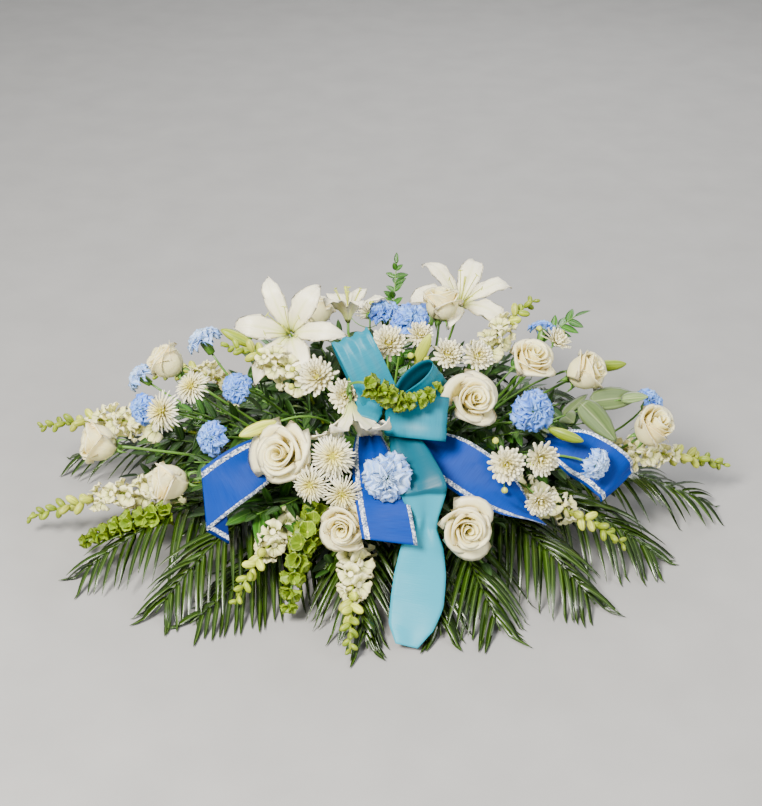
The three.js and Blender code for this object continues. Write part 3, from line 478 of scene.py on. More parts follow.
BELL_CUP = leaf_finish(
    "bell_cup", (0.07, 0.15, 0.001), (0.26, 0.36, 0.004), (0.34, 0.44, 0.02),
    lumps=(5.0, 14), streak_share=0.8, roughness=0.5, glow=0.1,
)
HEART_YELLOW = leaf_finish(
    "flower_heart", (0.4, 0.42, 0.02), (0.76, 0.64, 0.05), (0.7, 0.64, 0.08),
    lumps=(14.0, 14), relief=0.002, roughness=0.6,
)
print("All finishes so far:", len(MATERIALS))

# %% [markdown]
# ## Stems
#
# Every stem is pushed into the foam of the holder. It leaves the foam outwards and turns into the axis of
# its flower just below the head, so one curve with one control point is enough.

# %% Stems
FOOT = np.array([0.3, 0.16, 0.09])  # the foot's place in the foam, as shares of the head's
FOOT_HEIGHT = 32.0
FOAM_HALF_DEPTH = 46.0
STEM_STEPS = 12


def root_of(head):
    """Where the stem of a head starts inside the foam: low down, and a little towards the head."""
    x, y, z = np.asarray(head, float) * FOOT
    return np.array([x, np.clip(y, -FOAM_HALF_DEPTH, FOAM_HALF_DEPTH), FOOT_HEIGHT + z])


def stem(end, axis, radius):
    """A round green stem from the foam, a little thinner towards the head. Its control point lies back from
    the end along the axis, by 0.4 of the distance, so the stem arrives there straight."""
    start = root_of(end)
    end = np.asarray(end, float)
    control = end - 0.4 * np.linalg.norm(end - start) * unit(axis)
    path = bend(start, control, end, STEM_STEPS)[None]
    return skin(rings_round(path, np.linspace(radius, radius * 0.85, STEM_STEPS), 6), STEM_GREEN)


def random_tones(rng, copies, place=0.5):
    """Three numbers for each copy, of which the first is random and the second its place from the heart to
    the outside."""
    tone = rng.random((copies, 3))
    tone[:, 1] = place
    return tone


# %% [markdown]
# ## Roses
#
# A rose is a spiral of petals round a tight heart. Each petal is a piece of a cup: at the heart the cups are
# narrow and wrap round more than half way, and further out they are wide, lean outwards and roll their rims
# back. The petals could be modelled by hand and copied round, but no two are alike in a real rose. So one
# formula gives all the petals of one bloom at once, with t from 0 at the heart to 1 outside.

# %% The petals of a rose
ROWS = np.array([0.0, 0.14, 0.32, 0.52, 0.7, 0.84, 0.94, 1.0])
CLOSED_CUP = np.interp(ROWS, [0, 0.15, 0.35, 0.55, 0.75, 0.9, 1], [0.25, 0.64, 0.92, 0.98, 0.96, 0.98, 1.06])
OPEN_CUP = np.interp(ROWS, [0, 0.15, 0.35, 0.55, 0.75, 0.9, 1], [0.15, 0.45, 0.7, 0.86, 0.96, 1.04, 1.12])


def rose_petals(radius, height, open_share, count, rng):
    """Petals (count, 8 rows, 9 columns, 3) about the axis. Radius: cup width of the petal x cup profile of
    the row, plus a spiral lean across the petal and a rolled rim. Angle: the petal's place in the golden
    spiral, plus its half width x column, which is less at the top of the outer petals. Height: row x the
    petal's own height, less where its corners round off."""
    t = np.linspace(0, 1, count)[:, None, None]
    s = ROWS[None, :, None]
    c = np.linspace(-1, 1, 9)[None, None, :]
    middle = (np.arange(count) * GOLDEN)[:, None, None] + rng.normal(0, 0.25, (count, 1, 1))
    opening = open_share * t**0.6
    cup = mix(CLOSED_CUP[None, :, None], OPEN_CUP[None, :, None], opening)
    size = radius * mix(0.12, mix(0.93, 0.8, open_share), t ** mix(0.75, 1.15, open_share))
    size = size * (1 + rng.normal(0, 0.045, (count, 1, 1)))
    wrap = mix(2.2, mix(1.35, 1.15, open_share), t**0.4)
    wrap = wrap * (0.4 + 0.6 * np.sin(np.pi * np.minimum(s * 0.75, 0.5)))
    wrap = wrap * (1 - 0.2 * t * np.clip((s - 0.6) / 0.4, 0, 1) ** 2)
    top = height * (mix(0.97, 0.86, open_share) + open_share * 0.16 * np.sin(np.pi * np.minimum(t * 1.3, 1)))
    top = top - height * t**2 * mix(0.1, 0.3, open_share) + height * rng.normal(0, 0.025, (count, 1, 1))
    corner = 1 - (0.08 + 0.2 * t) * c**2 * s - 0.1 * np.abs(c) ** 5 * s
    rim = np.clip((s - 0.72) / 0.28, 0, 1) ** 2
    roll = radius * mix(0.02, mix(0.14, 0.25, open_share), t) * rim
    roll = roll * (0.85 + 0.15 * np.abs(c)) * (1 + rng.normal(0, 0.3, (count, 1, 1)))
    wave = radius * 0.06 * np.sin(3 * c + rng.random((count, 1, 1)) * 6) * s**3 * t
    lean = radius * mix(0.06, 0.12, t) * c * (0.3 + 0.7 * s)
    dent = size * 0.09 * open_share * np.sin(2.3 * c + rng.random((count, 1, 1)) * 6) * s
    reach = size * cup + lean + roll + wave + dent
    level = s * top * corner - roll * 0.9 - height / 2
    return turned_about(np.maximum(reach, 0.3), middle + wrap * c, level)


def sepals(middle, axis, radius, length, base):
    """Five green points that turn down from under a bloom, as a level base + a low arch - length x s^1.8."""
    s = np.linspace(0, 1, 6)[None, :, None]
    c = np.linspace(-1, 1, 3)[None, None, :]
    angle = (np.arange(5) * 2 * np.pi / 5)[:, None, None]
    half = radius * np.interp(s, [0, 0.25, 0.6, 1], [0.13, 0.15, 0.08, 0.01])
    reach = radius * (0.16 + 0.4 * np.sin(s * 1.9))
    level = base + radius * 0.14 * np.sin(s * 3.1) - length * s**1.8
    x = reach * np.cos(angle) - half * c * np.sin(angle)
    y = reach * np.sin(angle) + half * c * np.cos(angle)
    local = np.stack(np.broadcast_arrays(x, y, level), -1)
    return shell(stand(local, middle, axis), 0.7, STEM_GREEN)


def rose(middle, axis, radius, open_share, rng):
    """One bloom with its sepals, its green foot and its stem. Buds are tall and have fewer petals."""
    axis = unit(axis)
    height = radius * mix(2.05, 1.15, open_share)
    count = int(mix(15, 18, open_share))
    petals = stand(rose_petals(radius, height, open_share, count, rng), middle, axis)
    tone = random_tones(rng, count, np.linspace(0, 1, count))
    foot = np.asarray(middle) - axis * height / 2
    cup = spindle(np.array([-8, -5, -1, 3]) - height / 2, [1.8, 4, 5.2, 4.5], 8)
    return [
        shell(petals, 0.5, ROSE_PETAL, tone),
        skin(stand(cup, middle, axis), STEM_GREEN),
        sepals(middle, axis, radius, radius * 0.5, -height / 2),
        stem(foot - axis * 7, axis, 2.6),
    ]


# %% [markdown]
# The roses stand in three rows: buds that have just begun to open at the ends and at the top, and open ones
# along the front. Each has its middle, the way it faces, its radius, and how far it is open from 0 to 1.

# %% Place the roses
ROSES = {
    "rose_upper_left": [(-355, -1, 253), (-0.76, 0, 0.65), 31, 0.1],
    "rose_far_left": [(-460, -101, 158), (-0.92, -0.25, 0.3), 32, 0.1],
    "rose_lower_left": [(-329, -227, 169), (-0.85, -0.35, 0.1), 34, 0.2],
    "rose_open_left": [(-150, -252, 239), (-0.35, -0.75, 0.55), 48, 1],
    "rose_top_right": [(100, 92, 314), (0.06, 0.25, 0.96), 30, 0.05],
    "rose_centre_right": [(140, -170, 285), (0.35, -0.7, 0.6), 41, 0.7],
    "rose_right_back": [(240, -62, 296), (0.35, -0.35, 0.85), 36, 0.5],
    "rose_right": [(331, -52, 266), (0.75, -0.2, 0.6), 34, 0.2],
    "rose_far_right": [(440, -97, 189), (0.5, -0.35, 0.8), 33, 0.1],
    "rose_lower_right": [(128, -331, 157), (0.15, -0.85, 0.35), 42, 0.8],
    "rose_lower_centre": [(-58, -314, 148), (-0.15, -0.9, 0.3), 37, 0.8],
    "rose_back": [(-120, 200, 240), (-0.2, 0.7, 0.7), 38, 0.6],
}
for number, (name, place) in enumerate(ROSES.items()):
    make_piece(name + "_petals", rose(*place, np.random.default_rng(100 + number)), [name])

# %% [markdown]
# ## Lilies
#
# A lily has six long petals, by turns broad and narrow, that leave a green throat, open out and curl back.
# Each is a grid along a bent line: a groove runs down its middle and its edges ripple. Six thin stamens and
# a thicker pistil stand in the throat. A bud is a spindle with three grooves, where the petals will part. A
# flat card with a picture would do from afar, but the lilies stand at the top, where their outline shows.

# %% The parts of a lily
LILY_PETALS = 6
LILY_THICKNESS = 0.7


def lily_petals(length, open_share, rng):
    """Petals (6, 12 rows, 9 columns, 3). From the throat the middle line goes out by length x (u + u^2 / 4)
    and up by length x (u - a curl of u^2 and u^7), weighed by how far the bloom is open, after a short
    trumpet below the throat. Half width: 0.25 length x a rounded profile, and 0.74 of that on the narrow
    ones. The groove lowers the middle, and the ripple is a sine that grows towards the edges."""
    u = np.array([-0.2, -0.08, 0.02, 0.12, 0.24, 0.37, 0.5, 0.63, 0.76, 0.87, 0.95, 1.0])[None, :, None]
    c = np.linspace(-1, 1, 9)[None, None, :]
    number = np.arange(LILY_PETALS)[:, None, None]
    angle = number * 2 * np.pi / LILY_PETALS + rng.normal(0, 0.07, (LILY_PETALS, 1, 1))
    forward = np.clip(u, 0, 1)
    open_share = open_share * (1 + rng.normal(0, 0.1, (LILY_PETALS, 1, 1)))
    length = length * (1 + rng.normal(0, 0.04, (LILY_PETALS, 1, 1)))
    away_by, up_by = open_share / np.hypot(open_share, 1), 1 / np.hypot(open_share, 1)
    trumpet = length * mix(0.05, 0.12, np.clip((u + 0.2) / 0.2, 0, 1))
    out = trumpet + length * (away_by * forward + 0.25 * open_share * forward**2)
    up = length * (up_by * forward - open_share * (0.3 * forward**2 + 0.36 * forward**7) + np.minimum(u, 0))
    is_broad = number % 2 == 1
    body = np.interp(u, [-0.2, 0, 0.25, 0.5, 0.75, 0.9, 1.0], [0.12, 0.36, 0.78, 1, 0.86, 0.5, 0.06])
    half = length * 0.25 * np.where(is_broad, 1.0, 0.74) * body
    slope_out = np.gradient(out, axis=1)
    slope_up = np.gradient(up, axis=1)
    steep = np.sqrt(slope_out**2 + slope_up**2)
    lift = length * (0.05 * np.abs(c) ** 0.7 - 0.06 * c**2) * body * np.clip(u * 4, 0, 1)
    ripple = length * 0.045 * np.sin(17 * u + 2.4 * number + 2 * c) * np.abs(c) ** 3 * np.clip(u * 3, 0, 1)
    lift = lift + ripple + np.where(is_broad, 1.2, 0.0)
    out = out - lift * slope_up / steep
    up = up + lift * slope_out / steep
    side = half * c
    x = out * np.cos(angle) - side * np.sin(angle)
    y = out * np.sin(angle) + side * np.cos(angle)
    return np.stack(np.broadcast_arrays(x, y, up), -1)


def lily_heart(throat, axis, length, rng):
    """Six stamens with cross-wise anthers, and a pistil. Each is rings round a bent line."""
    throat = np.asarray(throat)
    angle = (np.arange(6) + 0.5)[:, None] * np.pi / 3
    u = np.linspace(0, 1, 8)[None]
    reach = length * (0.05 + 0.16 * u + 0.12 * u**2)
    level = length * (-0.1 + 0.68 * u)
    threads = stand(turned_about(reach, angle, level), throat, axis)
    tips = threads[:, -1]
    across = unit(np.cross(unit(threads[:, -1] - threads[:, -2]), unit(axis)))
    anthers = tips[:, None] + across[:, None] * np.linspace(-5, 5, 5)[None, :, None]
    pistil_tip = throat + 0.66 * length * unit(axis) + rng.normal(0, 2, 3)
    pistil = bend(throat - 0.1 * length * unit(axis), throat + 0.3 * length * unit(axis), pistil_tip, 7)[None]
    return [
        skin(rings_round(threads, 0.8, 4), CREAM_BUD),
        skin(rings_round(anthers, np.array([0.4, 1.0, 1.2, 1.0, 0.4]), 4), CREAM_BUD),
        skin(rings_round(pistil, np.array([1.6, 1.3, 1.2, 1.2, 1.3, 2.2, 2.4]), 6), CREAM_BUD),
    ]


def lily_bud(root, axis, length, look):
    """A spindle with three grooves, whose radius is 0.165 of its length at the middle."""
    rows = np.array([0, 0.05, 0.15, 0.3, 0.45, 0.6, 0.75, 0.87, 0.95, 1.0])
    profile = [0.05, 0.09, 0.15, 0.165, 0.13, 0.07, 0.02]
    radii = length * np.interp(rows, [0, 0.08, 0.3, 0.5, 0.78, 0.93, 1], profile)
    local = spindle(rows * length, radii, 12, wave=0.1)
    return skin(stand(local, root, axis), look)


def lily(throat, axis, length, open_share, with_heart, rng):
    """One open bloom with its stem, which starts under the trumpet."""
    axis = unit(axis)
    local = lily_petals(length, open_share, rng)
    tone = random_tones(rng, LILY_PETALS, 1.0)
    parts = [
        shell(stand(local, throat, axis), LILY_THICKNESS, LILY_PETAL, tone),
        stem(np.asarray(throat) - axis * length * 0.17, axis, 2.8),
    ]
    if with_heart:
        parts += lily_heart(throat, axis, length, rng)
    return parts


# %% [markdown]
# Three lilies stand along the top and one hangs under the bow, seen from its side, so nothing of its heart
# shows. Each has its throat, the way it faces, the length of its petals, how far it is open, and whether it
# gets stamens. A bud has its root, its direction, its length and its finish.

# %% Place the lilies
LILIES = {
    "lily_left": [(-150, -2, 310), (-0.15, -0.75, 0.65), 92, 1, True],
    "lily_back": [(-55, 60, 310), (0, 0.3, 0.95), 72, 0.75, True],
    "lily_right": [(138, 158, 282), (0.12, -0.4, 0.9), 88, 0.95, True],
    "lily_centre": [(-44, -198, 280), (0.12, -0.6, -0.8), 84, 0.9, False],
}
LILY_BUDS = {
    "lily_left": [[(-205, -32, 300), (-0.85, 0.1, 0.45), 60, LIME_BUD],
                  [(-160, -200, 262), (-0.85, -0.45, -0.1), 62, CREAM_BUD]],
    "lily_centre": [[(55, -88, 300), (0.35, -0.05, 0.9), 60, CREAM_BUD]],
    "lily_buds_right": [[(345, -2, 245), (1, 0, 0.1), 60, LIME_BUD],
                        [(262, -172, 232), (0.9, -0.3, -0.2), 56, LIME_BUD]],
}


def buds_with_stems(name):
    """The closed buds of one stem of lilies."""
    parts = []
    for root, axis, length, look in LILY_BUDS.get(name, []):
        parts += [lily_bud(root, axis, length, look), stem(root, axis, 2.0)]
    return parts


for number, (name, place) in enumerate(LILIES.items()):
    rng = np.random.default_rng(200 + number)
    make_piece(name + "_petals", lily(*place, rng) + buds_with_stems(name), [name])
make_piece("lily_buds_right_grooved", buds_with_stems("lily_buds_right"), ["lily_buds_right"])

# %% [markdown]
# ## Carnations
#
# A carnation is a green tube crammed with fan-shaped petals. Each petal is narrow where it leaves the tube
# and twice as wide at its rim, which is pleated and cut into teeth. The petals of the heart stand up and the
# outer ones lie flat, so together they make a ball. A ball with a bumpy surface would be quicker, but its
# outline would be smooth, and the frayed outline is what tells a carnation from afar.

# %% The parts of a carnation
CARNATION_PETALS = 26
CARNATION_THICKNESS = 0.35


def carnation_petals(radius, count, rng):
    """Petals (count, 6 rows, 15 columns, 3). A petal runs from the mouth of the tube to a point on the ball,
    at an angle from the axis that grows with t. Pleats are sines across the petal that grow along it, and
    the teeth lengthen every other column of the rim."""
    t = np.linspace(0, 1, count)[:, None, None]
    s = np.array([0.0, 0.3, 0.55, 0.78, 0.92, 1.0])[None, :, None]
    c = np.linspace(-1, 1, 15)[None, None, :]
    middle = (np.arange(count) * GOLDEN)[:, None, None] + rng.normal(0, 0.15, (count, 1, 1))
    lie = mix(0.02, 1.7, t**0.85) + rng.normal(0, 0.08, (count, 1, 1))
    phase = rng.random((count, 1, 1)) * 6.3
    pleats = np.sin(c * 6 + phase) * 1.1 + np.sin(c * 13 + 2 * phase) * 0.3
    teeth = (np.arange(15) % 2)[None, None, :] * 0.07 * (s > 0.95)
    far = radius * mix(0.78, 0.92, t) * (1 + rng.normal(0, 0.04, (count, 1, 1)))
    far = far * (s ** mix(0.9, 0.8, t)) * (1 - 0.16 * c**2 * s + teeth)
    curve = lie * (0.35 + 0.65 * s) + 0.23 * pleats * s**2
    wrap = mix(1.3, 0.62, t**0.5) * (0.3 + 0.7 * s)
    reach = np.abs(far * np.sin(curve)) + radius * 0.03
    level = far * np.cos(curve) * 0.92 - radius * 0.32
    return turned_about(reach, middle + wrap * c + 0.1 * np.cos(c * 7 + phase) * s**2, level)


def carnation(middle, axis, radius, look, rng):
    """One bloom in its green tube, on its stem."""
    axis = unit(axis)
    local = carnation_petals(radius, CARNATION_PETALS, rng)
    tone = random_tones(rng, CARNATION_PETALS, np.linspace(0, 1, CARNATION_PETALS))
    tube = spindle(radius * np.array([-0.95, -0.9, -0.6, -0.25, -0.1]),
                   radius * np.array([0.1, 0.2, 0.25, 0.27, 0.2]), 10)
    return [
        shell(stand(local, middle, axis), CARNATION_THICKNESS, look, tone),
        skin(stand(tube, middle, axis), STEM_GREEN),
        stem(np.asarray(middle) - axis * radius * 0.93, axis, 2.2),
    ]


# %% [markdown]
# Carnations fill the gaps between the larger blooms, alone or in pairs. Each has its middle, the way it
# faces, its radius and one of the two blues.

# %% Place the carnations
CARNATIONS = {
    "carnation_upper_left": [[(-300, 55, 268), (-0.5, 0.2, 0.85), 34, CARNATION_PALE]],
    "carnations_far_left": [[(-405, 10, 222), (-0.8, 0.1, 0.6), 28, CARNATION_PALE],
                            [(-385, -95, 220), (-0.5, -0.7, 0.4), 28, CARNATION_BLUE]],
    "carnation_left": [[(-228, -125, 278), (-0.3, -0.75, 0.5), 27, CARNATION_BLUE]],
    "carnation_lower_left": [[(-262, -202, 234), (-0.5, -0.7, 0.4), 30, CARNATION_BLUE]],
    "carnation_front": [[(9, -297, 225), (0, -0.9, 0.4), 42, CARNATION_PALE]],
    "carnations_top": [[(5, 59, 319), (-0.1, 0, 1), 30, CARNATION_BLUE],
                       [(50, 15, 325), (0.2, -0.5, 0.8), 35, CARNATION_BLUE]],
    "carnation_right": [[(238, -166, 262), (0.2, -0.8, 0.5), 37, CARNATION_BLUE]],
    "carnation_lower_right": [[(336, -216, 194), (0.6, -0.7, 0.2), 28, CARNATION_PALE]],
    "carnation_far_right": [[(449, -21, 195), (0.5, -0.1, 0.85), 27, CARNATION_BLUE]],
    "carnations_back": [[(275, 70, 280), (0.3, 0.5, 0.8), 27, CARNATION_BLUE],
                        [(90, 235, 225), (0.1, 0.8, 0.6), 32, CARNATION_BLUE]],
}
for number, (name, blooms) in enumerate(CARNATIONS.items()):
    rng = np.random.default_rng(300 + number)
    parts = [p for bloom in blooms for p in carnation(*bloom, rng)]
    make_piece(name + "_petals", parts, [name])

# %% [markdown]
# ## Chrysanthemums and spider chrysanthemums
#
# Both are daisies with many rows of petals. The petals of the first are blunt and a little cupped, and they
# bend up over the heart. Those of the second are thin quills that droop at the tip. So one function makes
# both: the quills are narrower, there are more of them, and they bend the other way.

# %% The parts of a chrysanthemum
BLUNT_PETALS = (64, 0.115, -0.2)  # how many, half the width as a share of the radius, and the bend
QUILLS = (84, 0.05, 0.5)
DAISY_THICKNESS = 0.4


def daisy_petals(radius, count, width, hook, rng):
    """Petals (count, 6 rows, 3 columns, 3). A petal starts on the small dome in the middle. It leans away
    from the axis by an angle that grows with t, and it bends by hook on its way to the tip. Half width: a
    rounded profile with a blunt end. The middle column lies lower, so the petal is cupped."""
    t = np.linspace(0, 1, count)[:, None, None] ** 0.8
    s = np.array([0.0, 0.25, 0.5, 0.75, 0.93, 1.0])[None, :, None]
    c = np.array([-1.0, 0.0, 1.0])[None, None, :]
    middle = (np.arange(count) * GOLDEN)[:, None, None]
    lean = mix(0.15, 1.5, t**0.75) + rng.normal(0, 0.05, (count, 1, 1))
    length = radius * mix(0.42, 0.9, t**0.8) * (1 + rng.normal(0, 0.05, (count, 1, 1)))
    turn_of = lean + hook * (s - 0.4) * s + rng.normal(0, 0.12, (count, 1, 1)) * s
    start = radius * 0.17
    reach = start * np.sin(lean) + length * s * np.sin(turn_of)
    level = start * np.cos(lean) + length * s * np.cos(turn_of) - radius * 0.12
    body = np.interp(s, [0, 0.25, 0.7, 0.93, 1], [0.45, 0.75, 1, 0.75, 0.2])
    half = radius * width * body * np.ones_like(t)
    cup = radius * width * 0.45 * (c**2 - 0.5) * np.sin(np.pi * np.clip(s, 0.1, 1.0))
    reach = reach - cup * np.cos(turn_of)
    level = level + cup * np.sin(turn_of)
    x = reach * np.cos(middle) - half * c * np.sin(middle)
    y = reach * np.sin(middle) + half * c * np.cos(middle)
    return np.stack(np.broadcast_arrays(x, y, level), -1)


def daisy(middle, axis, radius, spider, rng):
    """One bloom: petals, a grainy heart, a green cup under it and its stem."""
    axis = unit(axis)
    count, width, hook = QUILLS if spider else BLUNT_PETALS
    local = daisy_petals(radius, count, width, hook, rng)
    look = SPIDER_PETAL if spider else DAISY_PETAL
    tone = random_tones(rng, count, np.linspace(0, 1, count))
    heart = spindle(radius * np.array([-0.1, 0.0, 0.12, 0.2, 0.24]),
                    radius * np.array([0.16, 0.2, 0.19, 0.12, 0.04]), 12)
    cup = spindle(radius * np.array([-0.42, -0.38, -0.26, -0.12]),
                  radius * np.array([0.06, 0.16, 0.26, 0.24]), 8)
    return [
        shell(stand(local, middle, axis), DAISY_THICKNESS, look, tone),
        skin(stand(heart, middle, axis), HEART_YELLOW),
        skin(stand(cup, middle, axis), STEM_GREEN),
        stem(np.asarray(middle) - axis * radius * 0.4, axis, 1.8),
    ]


def daisy_buds(middle, axis, radius, count, rng):
    """Small round buds on side stems, beside a bloom and a little below it."""
    axis = unit(axis)
    side, rise = square(axis)
    parts = []
    for angle in rng.random(count) * 6.3:
        away = math.cos(angle) * side + math.sin(angle) * rise
        place = np.asarray(middle) + away * radius * 1.25 - axis * radius * rng.uniform(0.1, 0.4)
        facing_out = unit(axis + 0.5 * away)
        ball = spindle(np.array([0, 0.5, 2.5, 5.5, 8, 9]), np.array([1.5, 3, 5, 5.2, 3, 0.8]), 8)
        parts.append(skin(stand(ball, place, facing_out), CREAM_BUD))
        start = np.asarray(middle) - axis * radius * 1.1
        control = start + away * radius * 0.9
        path = bend(start, control, place + facing_out * 0.8, 6)[None]
        parts.append(skin(rings_round(path, 1.0, 4), STEM_GREEN))
    return parts


# %% [markdown]
# They come as sprays, with two or three blooms on side stems, and the white ones have round buds beside the
# first bloom. Each bloom has its middle, the way it faces and its radius.

# %% Place the chrysanthemums
DAISIES = {
    "mums_left": [[(-100, -128, 300), (-0.2, -0.7, 0.7), 33], [(-55, -172, 292), (0.1, -0.8, 0.6), 28]],
    "mums_top": [[(12, -82, 334), (-0.05, -0.6, 0.8), 31], [(62, -45, 328), (0.2, -0.6, 0.8), 24]],
    "mums_right": [[(105, -85, 316), (0.1, -0.6, 0.75), 27], [(152, -95, 318), (0.3, -0.6, 0.75), 27]],
    "mums_lower_right": [[(190, -250, 218), (0, -0.85, 0.5), 30], [(243, -240, 222), (0.3, -0.85, 0.4), 29],
                         [(240, -285, 175), (0.2, -0.95, 0.15), 26]],
    "mums_right_back": [[(290, 15, 285), (0.5, -0.1, 0.85), 27], [(200, 165, 240), (0.4, 0.6, 0.7), 30]],
    "mums_back": [[(-20, 245, 215), (0, 0.9, 0.5), 30], [(-235, 165, 215), (-0.4, 0.7, 0.6), 30]],
}
SPIDERS = {
    "spider_mums_left": [[(-345, -130, 238), (-0.5, -0.65, 0.5), 34],
                         [(-300, -105, 268), (-0.4, -0.5, 0.8), 30]],
    "spider_mums_front": [[(-72, -262, 240), (0, -0.8, 0.6), 36],
                          [(-105, -285, 205), (-0.3, -0.85, 0.3), 30],
                          [(-58, -295, 195), (0.05, -0.95, 0.2), 30]],
}
for number, (name, blooms) in enumerate({**DAISIES, **SPIDERS}.items()):
    rng = np.random.default_rng(400 + number)
    spider = name in SPIDERS
    parts = [p for bloom in blooms for p in daisy(*bloom, spider, rng)]
    if not spider:
        parts += daisy_buds(*blooms[0], 3, rng)
    make_piece(name + "_petals", parts, [name])

# %% [markdown]
# ## Snapdragons
#
# A snapdragon is a spike: open flowers at the bottom, smaller ones above, and green buds up to the tip. The
# flowers go round the stem by the golden turn. An open flower is a short tube with five ruffled lobes. One
# flower could be made once and copied, but then all of its rims would ripple alike, so the rims of all the
# flowers are worked out together, each with its own start of the wave.

# %% Places along a spike
def along_path(path, shares):
    """Points and directions at shares (from 0 to 1) of a path's length."""
    step = np.linalg.norm(np.diff(path, axis=0), axis=1)
    length = np.concatenate([[0], np.cumsum(step)])
    at = np.asarray(shares) * length[-1]
    points = np.stack([np.interp(at, length, path[:, k]) for k in range(3)], -1)
    ways = unit(np.gradient(path, axis=0))
    towards = np.stack([np.interp(at, length, ways[:, k]) for k in range(3)], -1)
    return points, unit(towards), length[-1]


def spread_round(path, shares, turns, forward):
    """Places for florets: points on the path, and ways out that lean forward and turn by an angle each."""
    points, axis, _ = along_path(path, shares)
    side, rise = square(axis)
    away = np.cos(turns)[:, None] * side + np.sin(turns)[:, None] * rise
    return points, unit(away + forward * axis)


def stand_each(local, points, axes):
    """Copies of local shapes, each on its own point and axis. local is (copies, ..., 3)."""
    side, rise = square(axes)
    frames = np.stack([side, rise, axes], axis=1)
    flat = local.reshape(len(points), -1, 3)
    placed = np.einsum("knj,kji->kni", flat, frames) + points[:, None]
    return placed.reshape(local.shape)


def keep_above(points):
    """What would dip under the table is bent up to lie just over it."""
    points[..., 2] = np.where(points[..., 2] < LOWEST, LOWEST + 0.15 * np.abs(points[..., 2] - LOWEST) ** 0.5,
                              points[..., 2])
    return points


# %% The parts of a snapdragon
LOBE_ANGLES = [1.1, 2.04, 3.7, 4.71, 5.72]  # round the mouth, in radians: two stand up and three hang
SNAPDRAGON_THICKNESS = 0.4
FLOWER_STEP = 8.2  # from each flower to the next, along the spike
OPEN_BELOW = 0.5  # flowers riper than this are open
PALE_BELOW = 0.3  # buds riper than this have turned pale


def floret_lobes(size, rng):
    """Ruffled lobes (5 per floret, 5 rows, 7 columns, 3): two stand up and three hang as a lip. A lobe starts
    at the mouth of the tube, reaches out by 0.6 of the size, and rolls back with a rippled rim."""
    copies = len(size)
    size = np.repeat(size, 5)[:, None, None]
    angle = np.tile(LOBE_ANGLES, copies)[:, None, None]
    s = np.array([0.0, 0.35, 0.65, 0.88, 1.0])[None, :, None]
    c = np.linspace(-1, 1, 7)[None, None, :]
    phase = rng.random((copies * 5, 1, 1)) * 6.3
    reach = size * (0.12 + 0.48 * np.sin(s * 1.6)) * (1 - 0.14 * c**2 * s)
    level = size * (0.42 + 0.26 * np.sin(s * 2.5)) + size * 0.11 * np.sin(5 * c + phase) * s**2
    half = 0.66 * np.interp(s, [0, 0.35, 0.65, 0.88, 1], [0.6, 0.85, 1.0, 0.95, 0.7]) + 0 * c
    return turned_about(reach, angle + half * c * (1 + 0.1 * np.sin(5 * c + phase) * s), level)


def snapdragon(tip, control, flowering, rng):
    """A whole spike on its stem. ripe is 1 for the lowest flower and 0 at the tip, and flowering is the
    length of the part that has flowers and buds."""
    path = bend(root_of(tip), control, tip, 24)
    length = along_path(path, [0])[2]
    count = int(flowering / FLOWER_STEP)
    level = np.linspace(0, 1, count)
    ripe = 1 - level
    shares = mix(1 - flowering / length, 0.985, level**0.92)
    points, ways = spread_round(path, shares, np.arange(count) * GOLDEN + rng.normal(0, 0.2, count), 0.75)
    is_open = ripe > OPEN_BELOW
    size = mix(27, 40, np.clip((ripe - OPEN_BELOW) / OPEN_BELOW, 0, 1)) * (1 + rng.normal(0, 0.07, count))
    opened = size[is_open]
    lobes = floret_lobes(opened, rng)
    lobes = keep_above(stand_each(lobes, np.repeat(points[is_open], 5, 0), np.repeat(ways[is_open], 5, 0)))
    tone = random_tones(rng, len(lobes), 1.0)
    tube = spindle([0, 0.15, 0.35, 0.48, 0.4], [0.07, 0.12, 0.13, 0.16, 0.06], 8)
    tubes = keep_above(stand_each(tube * opened[:, None, None, None], points[is_open], ways[is_open]))
    shut = ~is_open
    bud_size = mix(12, 25, (ripe[shut] / OPEN_BELOW) ** 0.8)
    bud = spindle([0, 0.1, 0.4, 0.75, 0.95, 1.0], [0.12, 0.22, 0.3, 0.27, 0.14, 0.03], 8)
    buds = keep_above(stand_each(bud * bud_size[:, None, None, None], points[shut], ways[shut]))
    bud_tone = random_tones(rng, len(buds), 0.5)
    pale = ripe[shut] > PALE_BELOW
    parts = [
        skin(rings_round(keep_above(path)[None], np.linspace(3.0, 1.6, 24), 6), LIME_BUD),
        shell(lobes, SNAPDRAGON_THICKNESS, SNAPDRAGON_PETAL, tone),
        skin(tubes, SNAPDRAGON_PETAL, random_tones(rng, len(tubes), 0.6)),
        skin(buds[~pale], LIME_BUD, bud_tone[~pale]),
    ]
    if pale.any():
        parts.append(skin(buds[pale], CREAM_BUD, bud_tone[pale]))
    return parts


# %% [markdown]
# The snapdragons reach out of the mound at both ends and over its front edge. Each has its tip, the control
# point of its stem, and the length of its flowering part.

